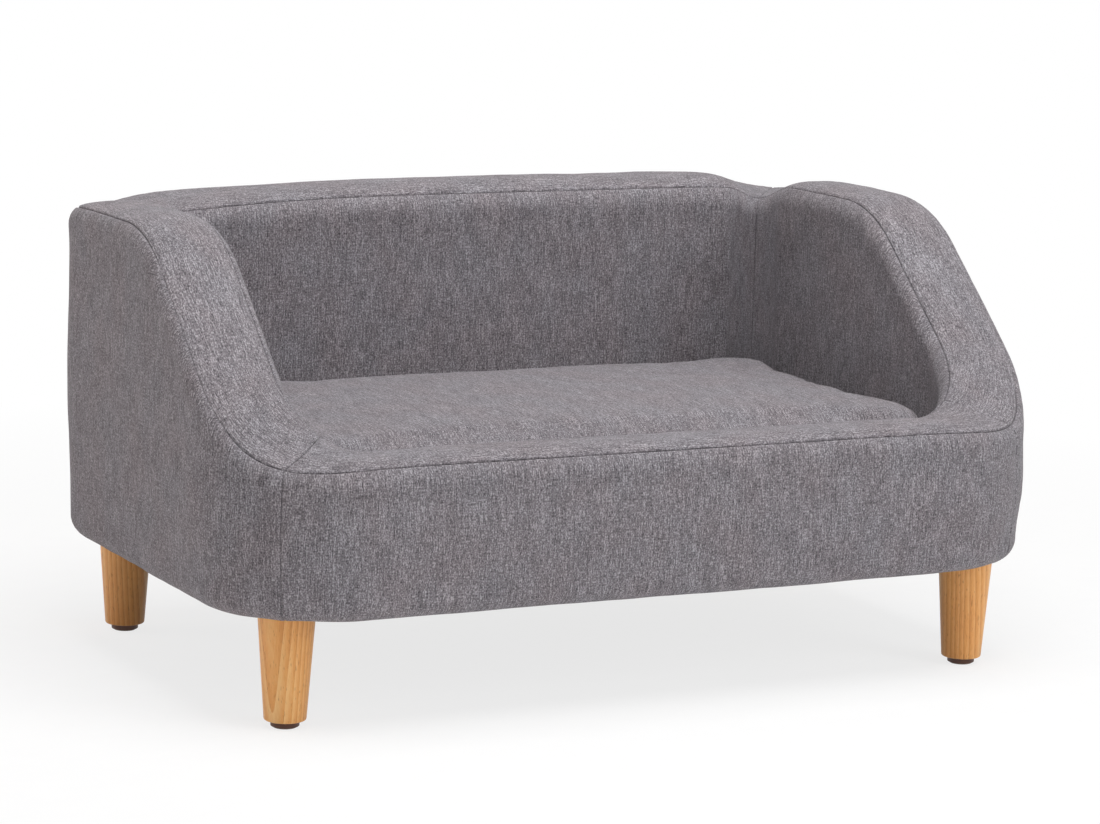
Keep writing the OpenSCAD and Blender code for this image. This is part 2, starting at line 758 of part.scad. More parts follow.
// One ring: a rounded rectangle whose front and ends draw in between the corners
function cushion_ring(inset, z, crown, shell) = let (
    e = inset + shell,
    w = cushion_half_w - e,
    d = cushion_half_d - e,
    r = max(cushion_corner_r - e, (cushion_half_d - cushion_field) / 4),
    pull = draw_in * clamp(1 - inset / cushion_field),
    corners = [[1, -1], [1, 1], [-1, 1], [-1, -1]]) [
    for (q = [0 : 3]) let (
        sx = corners[q][0],
        sy = corners[q][1],
        a0 = q * 90 - 90,
        next = corners[(q + 1) % 4],
        steps = q % 2 == 0 ? short_steps : long_steps,
        a = [sx * (w - r), sy * (d - r)],
        b = [next[0] * (w - r), next[1] * (d - r)],
        out = [cos(a0 + 90), sin(a0 + 90)],
        draw = q == 1 ? 0 : pull)
    each concat(
        [for (i = [0 : cushion_corner_steps]) let (t = a0 + 90 * i / cushion_corner_steps)
            crowned(a + r * [cos(t), sin(t)], z, crown)],
        [for (i = [1 : steps - 1]) let (s = i / steps)
            crowned(a + (b - a) * s + out * (r - draw * 4 * s * (1 - s)), z, crown)])];

function crowned(p, z, crown) = [p[0], cushion_mid_y + p[1], z + crown * crown_share(p[0], p[1])];

// Closed solid of the cushion, taken in all round by shell
module cushion_form(shell) {
    mid = cushion_mid_z;
    rings = [for (r = cushion_rings)
        cushion_ring(r[0], r[1] - shell * (r[1] - mid) / (cushion_edge_h / 2), r[2], shell)];
    ring_solid([for (r = rings) reversed(r)]);
}

// The cover is open behind the zip's chain
module cushion_cover() {
    color(fabric) difference() {
        cushion_form(0);
        cushion_form(cushion_cover_t);
        translate([-zip_l / 2, cushion_back_y - cushion_cover_t - cut, cushion_mid_z - zip_chain_w / 2])
            cube([zip_l, cushion_cover_t + 2 * cut, zip_chain_w]);
    }
}

module cushion_core() {
    color(foam) cushion_form(cushion_cover_t);
}

// Zip on the cushion's rear side

zip_l = 2 * (cushion_half_w - zip_end);
tape_y = cushion_back_y;
chain_y = tape_y + zip_tape_t;
slider_y = chain_y + slide_fit;
slider_t = zip_chain_t + slider_wall;
pull_y = slider_y + slider_t;
slider_x = zip_l / 2 - slider_l;
loop_h = slider_h / 2;
loop_out = 2 * pull_t + slide_fit;

module zip_tape() {
    color("gray") translate([-zip_l / 2 - zip_tape_w / 2, tape_y, cushion_mid_z - zip_tape_w / 2])
        cube([zip_l + zip_tape_w, zip_tape_t, zip_tape_w]);
}

module zip_chain() {
    color("dimgray") translate([-zip_l / 2, chain_y, cushion_mid_z - zip_chain_w / 2])
        cube([zip_l, zip_chain_t, zip_chain_w]);
}

// Slider that straddles the chain, with a loop for its pull
module zip_slider() {
    color(steel) translate([slider_x, slider_y, cushion_mid_z]) {
        difference() {
            translate([-slider_l / 2, 0, -slider_h / 2]) cube([slider_l, slider_t, slider_h]);
            translate([-slider_l / 2 - cut, -cut, -zip_chain_w / 2 - slide_fit])
                cube([slider_l + 2 * cut, zip_chain_t + cut, zip_chain_w + 2 * slide_fit]);
        }
        difference() {
            translate([-pull_t, slider_t, -loop_h / 2]) cube([2 * pull_t, loop_out, loop_h]);
            translate([-pull_t - cut, slider_t - cut, -loop_h / 2 + pull_t])
                cube([2 * pull_t + 2 * cut, cut + pull_t + slide_fit, loop_h - 2 * pull_t]);
        }
    }
}

// Pull that hangs from the slider's loop
module zip_pull() {
    color(steel) translate([slider_x, pull_y, cushion_mid_z - loop_h / 2 + pull_t]) difference() {
        translate([-pull_w / 2, 0, -pull_l]) cube([pull_w, pull_t, pull_l + loop_h / 2 - pull_t]);
        translate([-pull_t - slide_fit, -cut, -pull_t - slide_fit]) cube([2 * pull_t + 2 * slide_fit, pull_t + 2 * cut, pull_t + slide_fit]);
    }
}

base_board();
side_panel(-1);  // side_panel_left
side_panel(1);  // side_panel_right
back_panel();
front_panel();
corner_post(-1, -1);  // corner_post_front_left
corner_post(1, -1);  // corner_post_front_right
corner_post(-1, 1);  // corner_post_back_left
corner_post(1, 1);  // corner_post_back_right
frame_screws();
leg(-1, -1);  // leg_front_left
leg(1, -1);  // leg_front_right
leg(-1, 1);  // leg_back_left
leg(1, 1);  // leg_back_right
leg_bolts();
tee_nuts();
glide(-1, -1);  // glide_front_left
glide(1, -1);  // glide_front_right
glide(-1, 1);  // glide_back_left
glide(1, 1);  // glide_back_right
glide_pads();
glide_nails();
arm_foam(-1);  // arm_foam_left
arm_foam(1);  // arm_foam_right
back_foam();
front_foam();
side_cover(-1);  // side_cover_left
side_cover(1);  // side_cover_right
back_cover();
front_cover();
arm_band(-1);  // arm_band_left
arm_band(1);  // arm_band_right
back_band();
front_band();
arm_lining(-1);  // arm_lining_left
arm_lining(1);  // arm_lining_right
back_lining();
front_lining();
seat_pad();
deck_cloth();
dust_cover();
dust_cover_staples();
cushion_cover();
cushion_core();
zip_tape();
zip_chain();
zip_slider();
zip_pull();
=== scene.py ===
"""Dresses the dog sofa bed: padded walls, loose cushion, turned legs, zip and hidden parts."""

import logging
import math
from dataclasses import dataclass, field, replace
from enum import Enum
from typing import Sequence

import bmesh
import bpy
from mathutils import Matrix, Vector, noise


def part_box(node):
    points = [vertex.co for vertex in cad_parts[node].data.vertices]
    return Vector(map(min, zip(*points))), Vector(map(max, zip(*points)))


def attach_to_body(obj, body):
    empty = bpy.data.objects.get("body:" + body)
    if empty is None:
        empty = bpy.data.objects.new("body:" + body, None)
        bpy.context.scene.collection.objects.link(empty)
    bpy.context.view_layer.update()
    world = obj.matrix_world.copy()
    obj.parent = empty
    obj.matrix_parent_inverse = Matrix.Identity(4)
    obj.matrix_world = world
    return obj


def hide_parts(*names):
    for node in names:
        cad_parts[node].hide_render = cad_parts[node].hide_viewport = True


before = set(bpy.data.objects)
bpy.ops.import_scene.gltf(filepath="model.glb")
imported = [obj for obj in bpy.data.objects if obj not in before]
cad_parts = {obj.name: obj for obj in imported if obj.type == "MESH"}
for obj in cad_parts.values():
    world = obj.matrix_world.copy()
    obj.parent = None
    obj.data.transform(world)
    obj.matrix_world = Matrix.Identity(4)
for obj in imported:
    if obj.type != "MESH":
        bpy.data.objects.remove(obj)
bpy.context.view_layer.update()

LOG = logging.getLogger("dog_sofa")
TOUCH = 1e-6
QUARTER = math.pi / 2
WHITE = (1.0, 1.0, 1.0)

Triple = tuple[float, float, float]
Bm = bmesh.types.BMesh
Obj = bpy.types.Object
Material = bpy.types.Material
Socket = bpy.types.NodeSocket


class Body(Enum):
    """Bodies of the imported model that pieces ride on."""

    SOFA = "sofa"
    CUSHION = "cushion"
    ZIP_SLIDER = "zip_slider"


class Side(Enum):
    """The four padded walls, named by where they stand."""

    ARM_LEFT = "arm_left"
    ARM_RIGHT = "arm_right"
    BACK = "back"
    FRONT = "front"


class Strip(Enum):
    """The three fabric panels that cover a wall."""

    OUTER = "outer"
    BAND = "band"
    LINING = "lining"


def ease(value: float) -> float:
    """Smooth step from 0 to 1, held outside that range."""
    v = min(1.0, max(0.0, value))
    return v * v * (3 - 2 * v)


def hump(distance: float, reach: float) -> float:
    """Smooth bump that is 1 at no distance and fades out over its reach."""
    return math.exp(-(distance / reach) ** 2)


def srgb(red: int, green: int, blue: int) -> Triple:
    """Turns a colour as seen on screen, from 0 to 255, into the linear values of shaders."""
    def linear(c: int) -> float:
        v = c / 255
        return v / 12.92 if v <= 0.04045 else ((v + 0.055) / 1.055) ** 2.4
    return linear(red), linear(green), linear(blue)


@dataclass(frozen=True)
class Layer:
    """One noise of a finish: its scale per metre along each axis, its make and its weight."""

    scale: Triple
    detail: float = 2.0
    rough: float = 0.5
    weight: float = 1.0
    place: Triple = (0.0, 0.0, 0.0)
    distortion: float = 0.0
    cells: bool = False


class Graph:
    """Short words for building the node tree of a material or a world."""

    def __init__(self, owner: bpy.types.ID, output: str) -> None:
        """Empties the owner's tree and adds its output node."""
        owner.use_nodes = True
        self.tree = owner.node_tree
        self.tree.nodes.clear()
        self.surface = self.add(output).inputs["Surface"]

    def add(self, kind: str, inputs: dict | None = None, **settings: object) -> bpy.types.Node:
        """Adds a node.

        Args:
            kind: Its type, without the leading ShaderNode.
            inputs: Values or sockets for its inputs, by name or number.
            settings: Its own settings.

        Returns:
            The node.
        """
        node = self.tree.nodes.new(f"ShaderNode{kind}")
        for name, value in settings.items():
            setattr(node, name, value)
        for name, value in (inputs or {}).items():
            self.wire(node.inputs[name], value)
        return node

    def wire(self, target: Socket, value: object) -> None:
        """Links a socket to another, or sets it when the value is plain."""
        if isinstance(value, bpy.types.NodeSocket):
            self.tree.links.new(value, target)
        elif isinstance(value, tuple) and len(value) == 3 and target.type == "RGBA":
            target.default_value = (*value, 1.0)
        else:
            target.default_value = value

    def math(self, kind: str, a: object, b: object = 0.0) -> Socket:
        """Adds a Math node of the given kind and returns its value."""
        return self.add("Math", {0: a, 1: b}, operation=kind).outputs[0]

    def weigh(self, *terms: tuple[Socket, float]) -> Socket:
        """Adds up values, each times its weight."""
        total, *others = [self.math("MULTIPLY", value, weight) for value, weight in terms]
        for part in others:
            total = self.math("ADD", total, part)
        return total

    def level(self, factor: Socket, low: float, high: float, to_low: float,
              to_high: float) -> Socket:
        """Maps a range of values onto another one, held at its ends."""
        names = ("Value", "From Min", "From Max", "To Min", "To Max")
        values = (factor, low, high, to_low, to_high)
        return self.add("MapRange", dict(zip(names, values))).outputs["Result"]

    def layer(self, coordinate: Socket, layer: Layer) -> Socket:
        """Adds a finish's noise over a coordinate and returns its value."""
        place = self.add("Mapping", {"Vector": coordinate, "Scale": layer.scale,
                                     "Location": layer.place}).outputs["Vector"]
        if layer.cells:
            return self.add("TexVoronoi", {"Vector": place, "Scale": 1.0}).outputs["Distance"]
        return self.add("TexNoise", {
            "Vector": place, "Scale": 1.0, "Detail": layer.detail, "Roughness": layer.rough,
            "Distortion": layer.distortion}).outputs["Fac"]

    def ramp(self, factor: Socket, *stops: tuple[float, Triple]) -> Socket:
        """Adds a colour ramp with the given places and colours."""
        node = self.add("ValToRGB", {"Fac": factor})
        elements = node.color_ramp.elements
        while len(elements) < len(stops):
            elements.new(0.5)
        for element, (place, colour) in zip(elements, stops):
            element.position = place
            element.color = (*colour, 1.0)
        return node.outputs["Color"]

    def mix(self, factor: object, a: object, b: object, blend: str = "MIX") -> Socket:
        """Mixes two colours."""
        node = self.add("Mix", {}, data_type="RGBA", blend_type=blend)
        for place, value in ((0, factor), (6, a), (7, b)):
            self.wire(node.inputs[place], value)
        return node.outputs[2]

    def bump(self, height: Socket, distance: float, strength: float) -> Socket:
        """Adds a bump of the given height in metres and returns its normal."""
        return self.add("Bump", {"Height": height, "Distance": distance,
                                 "Strength": strength}).outputs["Normal"]


class MaterialGraph(Graph):
    """Node tree of a new material with a Principled shader."""

    def __init__(self, name: str) -> None:
        """Makes the material and wires its shader to the output."""
        self.material = bpy.data.materials.new(name)
        super().__init__(self.material, "OutputMaterial")
        self.shader = self.add("BsdfPrincipled")
        self.wire(self.surface, self.shader.outputs["BSDF"])

    def set(self, **sockets: object) -> None:
        """Sets or links the shader's sockets; underscores stand for spaces in their names."""
        for name, value in sockets.items():
            self.wire(self.shader.inputs[name.replace("_", " ")], value)

    @property
    def place(self) -> Socket:
        """Object coordinates, in metres."""
        return self.add("TexCoord").outputs["Object"]


@dataclass(frozen=True)
class LinenWeave:
    """Grey linen-look cloth: coarse crossed yarns, long slubs, a mottled dye and painted shade in
    the seam grooves.
    """

    name: str = "linen_weave"
    light: Triple = srgb(182, 179, 184)
    middle: Triple = srgb(124, 120, 125)
    dark: Triple = srgb(75, 72, 76)
    # Colour of the painted shade in the seam grooves.
    seam: Triple = srgb(58, 55, 60)
    warmth: Triple = srgb(255, 243, 240)
    yarn: float = 0.00105
    uv_layer: str = "cloth"
    # Vertex attribute that says how much painted seam shade falls on each point.
    seam_shade_layer: str = "seam"
    threads: tuple[Layer, ...] = (
        Layer((1100.0, 240.0, 1.0), 1.0, 0.6, 0.72),
        Layer((420.0, 1250.0, 1.0), 1.0, 0.6, 0.32, (7.3, 2.1, 0.0)),
        Layer((1100.0, 650.0, 1.0), 0.0, 0.6, 0.72, (4.2, 8.8, 0.0)),
        Layer((900.0, 90.0, 1.0), 1.0, 0.6, 0.5, (3.7, 9.2, 0.0)),
        Layer((600.0, 30.0, 1.0), 2.0, 0.6, 0.46, (6.1, 3.3, 0.0)),
        Layer((110.0, 900.0, 1.0), 1.0, 0.6, 0.28, (1.9, 4.4, 0.0)),
        Layer((70.0, 35.0, 1.0), 3.0, 0.6, 0.27, (0.4, 0.9, 0.0)))
    tint: Layer = Layer((22.0, 16.0, 1.0), place=(8.1, 6.4, 0.0))
    # Noise that makes the painted seam shade stronger in some stretches than others.
    fade: Layer = Layer((16.0, 16.0, 1.0), 1.0, place=(5.5, 1.2, 0.0))

    def material(self) -> Material:
        """Builds the material on the cloth's own UV map, which is in metres."""
        g = MaterialGraph(self.name)
        cloth = g.add("UVMap", uv_map=self.uv_layer).outputs["UV"]
        yarns = self._yarns(g, cloth)
        thread = g.math("ADD", g.math("MULTIPLY", yarns, 0.04), 0.48)
        for layer in self.threads:
            part = g.math("SUBTRACT", g.layer(cloth, layer), 0.5)
            thread = g.math("ADD", thread, g.math("MULTIPLY", part, layer.weight))
        colour = g.ramp(thread, (0.14, self.dark), (0.49, self.middle), (0.86, self.light))
        warm = g.level(g.layer(cloth, self.tint), 0.35, 0.65, 0.0, 0.4)
        colour = g.mix(warm, colour, self.warmth, "MULTIPLY")
        # Painted seam shade: darkens the cloth towards the seam colour where the attribute marks a
        # groove.
        fade = g.level(g.layer(cloth, self.fade), 0.35, 0.65, 0.25, 0.75)
        seam = g.add("Attribute", attribute_name=self.seam_shade_layer).outputs["Fac"]
        colour = g.mix(g.math("MULTIPLY", seam, fade), colour, self.seam)
        g.set(Base_Color=colour, Roughness=0.92, Sheen_Weight=0.12, Sheen_Roughness=0.5,
              Specular_IOR_Level=0.18,
              Normal=g.bump(g.weigh((yarns, 0.5), (thread, 0.9)), 0.0002, 0.8))
        return g.material

    def _yarns(self, g: Graph, cloth: Socket) -> Socket:
        """Plain weave of over and under yarns, as a height from 0 to 1."""
        ways = g.add("SeparateXYZ", {0: cloth}).outputs
        step = 2 * math.pi / self.yarn
        across, along = (g.math("SINE", g.math("MULTIPLY", way, step)) for way in ways[:2])
        return g.math("ADD", g.math("MULTIPLY", g.math("MULTIPLY", across, along), 0.5), 0.5)


@dataclass(frozen=True)
class Beech:
    """Clear lacquered beech: long straight grain, growth rings and short dark rays."""

    name: str = "beech"
    pale: Triple = srgb(252, 207, 142)
    warm: Triple = srgb(237, 168, 94)
    late: Triple = srgb(203, 124, 62)
    ray: Triple = srgb(158, 86, 36)
    ring_scale: Triple = (78.0, 78.0, 9.0)
    ring_turn: Triple = (0.16, 0.24, 0.0)
    ring_weight: float = 0.24
    fibre: Layer = Layer((1500.0, 1500.0, 50.0), 3.0, 0.6, 0.36)
    drift: Layer = Layer((16.0, 16.0, 5.0), weight=0.45)
    rays: Layer = Layer((900.0, 900.0, 170.0), 1.0, place=(2.0, 5.0, 1.0))

    def material(self) -> Material:
        """Builds the material on Object coordinates, with the grain along Z."""
        g = MaterialGraph(self.name)
        place = g.place
        drift, fibre, rays = (g.layer(place, layer)
                              for layer in (self.drift, self.fibre, self.rays))
        spot = g.add("Mapping", {"Vector": place, "Scale": self.ring_scale,
                                 "Rotation": self.ring_turn}).outputs["Vector"]
        rings = g.add("TexWave", {
            "Vector": spot, "Scale": 1.0, "Distortion": 5.0, "Detail": 2.0, "Detail Scale": 0.4,
            "Detail Roughness": 0.5}, wave_type="RINGS", rings_direction="Z", wave_profile="SAW")
        tone = g.weigh((rings.outputs["Fac"], self.ring_weight), (fibre, self.fibre.weight),
                       (drift, self.drift.weight))
        colour = g.ramp(tone, (0.26, self.late), (0.5, self.warm), (0.78, self.pale))
        colour = g.mix(g.level(rays, 0.62, 0.74, 0.0, 0.45), colour, self.ray)
        g.set(Base_Color=colour, Roughness=g.level(fibre, 0.2, 0.8, 0.42, 0.54),
              Specular_IOR_Level=0.4, Coat_Weight=0.12, Coat_Roughness=0.3,
              Normal=g.bump(g.math("ADD", fibre, rays), 0.00008, 0.5))
        return g.material


@dataclass(frozen=True)
class Mottled:
    """Matt stuff with a fine and a broad pattern between two colours: board, foam, felt, cloth."""

    name: str
    dark: Triple
    pale: Triple
    fine: Layer
    broad: Layer
    dark_at: float = 0.36
    pale_at: float = 0.66
    roughness: float = 0.95
    shine: float = 0.12
    sheen: float = 0.0
    depth: float = 0.0003
    relief: float = 0.8

    def material(self) -> Material:
        """Builds the material on Object coordinates."""
        g = MaterialGraph(self.name)
        place = g.place
        fine, broad = g.layer(place, self.fine), g.layer(place, self.broad)
        tone = g.weigh((fine, self.fine.weight), (broad, self.broad.weight))
        g.set(Base_Color=g.ramp(tone, (self.dark_at, self.dark), (self.pale_at, self.pale)),
              Roughness=self.roughness, Specular_IOR_Level=self.shine, Sheen_Weight=self.sheen,
              Normal=g.bump(fine, self.depth, self.relief))
        return g.material


@dataclass(frozen=True)
class Worn:
    """Moulded plastic or plated steel: a fine grain, and patches that are scuffed or dulled."""

    name: str
    colour: Triple
    worn: Triple
    grain: Layer
    patch: Layer
    worn_from: float
    worn_to: float
    worn_share: float
    roughness: float
    smoother: float
    rougher: float
    metal: float
    depth: float

    def material(self) -> Material:
        """Builds the material on Object coordinates."""
        g = MaterialGraph(self.name)
        place = g.place
        patch = g.layer(place, self.patch)
        share = g.level(patch, self.worn_from, self.worn_to, 0.0, self.worn_share)
        rough = g.level(patch, 0.3, 0.7, self.roughness - self.smoother,
                        self.roughness + self.rougher)
        g.set(Base_Color=g.mix(share, self.colour, self.worn), Metallic=self.metal, Roughness=rough,
              Normal=g.bump(g.layer(place, self.grain), self.depth, 0.5))
        return g.material


def alike(scale: float, **make: object) -> Layer:
    """A layer with the same scale along each axis."""
    return Layer((scale, scale, scale), **make)


def fibres(name: str, dark: Triple, pale: Triple, scale: float, squeeze: float = 1.0) -> Mottled:
    """Matted or spun fibres, drawn out along Y where they are squeezed."""
    strands = Layer((scale, scale * squeeze, scale), 4.0, 0.7, 0.75, distortion=1.2)
    return Mottled(name, dark, pale, strands, alike(25.0, detail=3.0, weight=0.25), sheen=0.1)


def steel(name: str, colour: Triple, roughness: float) -> Worn:
    """Plated steel with fine drawn lines and a little dulling."""
    return Worn(name, colour, tuple(c * 0.72 for c in colour), Layer((2400.0, 2400.0, 160.0)),
                alike(60.0, detail=3.0), 0.4, 0.7, 0.8, roughness, 0.06, 0.14, 1.0, 0.00002)


GLIDE_PLASTIC = Worn("glide_plastic", srgb(84, 52, 38), srgb(112, 78, 60), alike(1600.0),
                     Layer((90.0, 90.0, 160.0), 4.0, 0.65), 0.52, 0.72, 0.7, 0.5, 0.08, 0.12, 0.0,
                     0.00006)
ZIP_COIL = replace(GLIDE_PLASTIC, name="zip_coil", colour=srgb(58, 57, 60),
                   worn=srgb(84, 83, 86), roughness=0.4)
PLYWOOD = Mottled("plywood", srgb(172, 136, 92), srgb(214, 184, 140),
                  Layer((22.0, 700.0, 700.0), 3.0, 0.6, 0.3),
                  Layer((2.2, 16.0, 16.0), 4.0, 0.6, 0.7, distortion=0.6), 0.3, 0.66, 0.78, 0.5,
                  depth=0.0001, relief=0.5)
FOAM = Mottled("foam", srgb(196, 180, 132), srgb(236, 226, 190),
               alike(900.0, weight=0.8, cells=True), alike(12.0, detail=3.0, weight=0.3),
               0.2, 0.7, 0.95, 0.1, depth=0.0004, relief=0.7)


@dataclass(frozen=True)
class Paint:
    """All finishes of the sofa, made once."""

    linen: Material = field(default_factory=LinenWeave().material)
    beech: Material = field(default_factory=Beech().material)
    board: Material = field(default_factory=PLYWOOD.material)
    foam: Material = field(default_factory=FOAM.material)
    glide: Material = field(default_factory=GLIDE_PLASTIC.material)
    coil: Material = field(default_factory=ZIP_COIL.material)
    zinc: Material = field(default_factory=steel("zinc", srgb(196, 198, 200), 0.34).material)
    nickel: Material = field(default_factory=steel("nickel", srgb(128, 128, 132), 0.28).material)
    felt: Material = field(default_factory=fibres(
        "felt", srgb(150, 128, 104), srgb(196, 176, 150), 900.0).material)
    dust: Material = field(default_factory=fibres(
        "dust_cloth", srgb(24, 24, 26), srgb(52, 52, 56), 700.0).material)
    deck: Material = field(default_factory=fibres(
        "deck_cloth", srgb(78, 76, 80), srgb(112, 109, 114), 1100.0, 0.25).material)
    tape: Material = field(default_factory=fibres(
        "zip_tape", srgb(74, 72, 76), srgb(106, 103, 108), 1300.0, 0.2).material)


def finish_mesh(bm: Bm, name: str, material: Material, smooth_deg: float = 180.0) -> Obj:
    """Turns a bmesh into a linked object at the origin.

    Args:
        bm: The finished mesh, in metres, already in its place. It is freed.
        name: Name of the piece.
        material: Its finish.
        smooth_deg: Edges sharper than this stay sharp.

    Returns:
        The new object.
    """
    limit = math.radians(smooth_deg)
    for edge in bm.edges:
        if len(edge.link_faces) == 2 and edge.calc_face_angle(0.0) > limit:
            edge.smooth = False
    for face in bm.faces:
        face.smooth = True
    mesh = bpy.data.meshes.new(name)
    bm.to_mesh(mesh)
    bm.free()
    obj = bpy.data.objects.new(name, mesh)
    bpy.context.scene.collection.objects.link(obj)
    mesh.materials.append(material)
    return obj


def attach(piece: Obj, body: Body, node: str) -> Obj:
    """Rides a piece on a body and hides the node it stands for."""
    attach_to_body(piece, body.value)
    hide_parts(node)
    LOG.info("%s: %d vertices", piece.name, len(piece.data.vertices))
    return piece


def grid_place(co: Vector, columns: int, rows: int) -> tuple[int, int]:
    """Column and row of a vertex of a fresh grid of half size 1."""
    return round((co.x + 1) / 2 * columns), round((co.y + 1) / 2 * rows)


def cut(bm: Bm, place: Vector, way: Vector) -> None:
    """Cuts the whole mesh's faces along a plane and keeps both halves."""
    bmesh.ops.bisect_plane(bm, geom=bm.verts[:] + bm.edges[:] + bm.faces[:], dist=TOUCH,
                           plane_co=place, plane_no=way)


def bevel(bm: Bm, edges: list, offset: float, segments: int) -> None:
    """Rounds edges."""
    bmesh.ops.bevel(bm, geom=edges, offset=offset, segments=segments, profile=0.5,
                    affect="EDGES", material=-1)


def close(bm: Bm) -> None:
    """Splits the faces with many corners and turns all faces outwards."""
    bmesh.ops.triangulate(bm, faces=[f for f in bm.faces if len(f.verts) > 4])
    bmesh.ops.recalc_face_normals(bm, faces=bm.faces[:])


def box(bm: Bm, low: Vector, high: Vector) -> None:
    """Adds a box between two corners."""
    place = Matrix.Translation((low + high) / 2) @ Matrix.Diagonal((*(high - low), 1.0))
    bmesh.ops.create_cube(bm, size=1.0, matrix=place)


def graded(length: float, step: float, near: Sequence[float]) -> list[float]:
    """Places along a length, close together at both ends and even between.

    Args:
        length: The whole length.
        step: Widest gap between two places.
        near: Distances from each end of the close places, from 0 up.

    Returns:
        The places from 0 to the length.
    """
    inner = length - 2 * near[-1]
    count = max(1, math.ceil(inner / step))
    middle = [near[-1] + inner * i / count for i in range(1, count)]
    return list(near) + middle + [length - d for d in reversed(near)]


def graded_from_start(length: float, count: int, near: Sequence[float]) -> list[float]:
    """Places along a length, close together at its start only, always as many."""
    inner = length - near[-1]
    return list(near) + [near[-1] + inner * i / count for i in range(1, count + 1)]


@dataclass(frozen=True)
class Column:
    """A place on the outline: its distance from the front's middle, the point, the way inwards
    and the wall's thickness there, and from 0 to 1 how far it is round to the back."""

    place: float
    x: float
    y: float
    inward_x: float
    inward_y: float
    wall: float
    behind: float

    def point(self, inset: float, z: float) -> Vector:
        """Point at a distance inwards and a height."""
        return Vector((self.x + self.inward_x * inset, self.y + self.inward_y * inset, z))


@dataclass(frozen=True)
class SectionPoint:
    """A point of a wall's section: distance inwards, height, and the way into the wall."""

    inset: float
    z: float
    inward: float
    upward: float


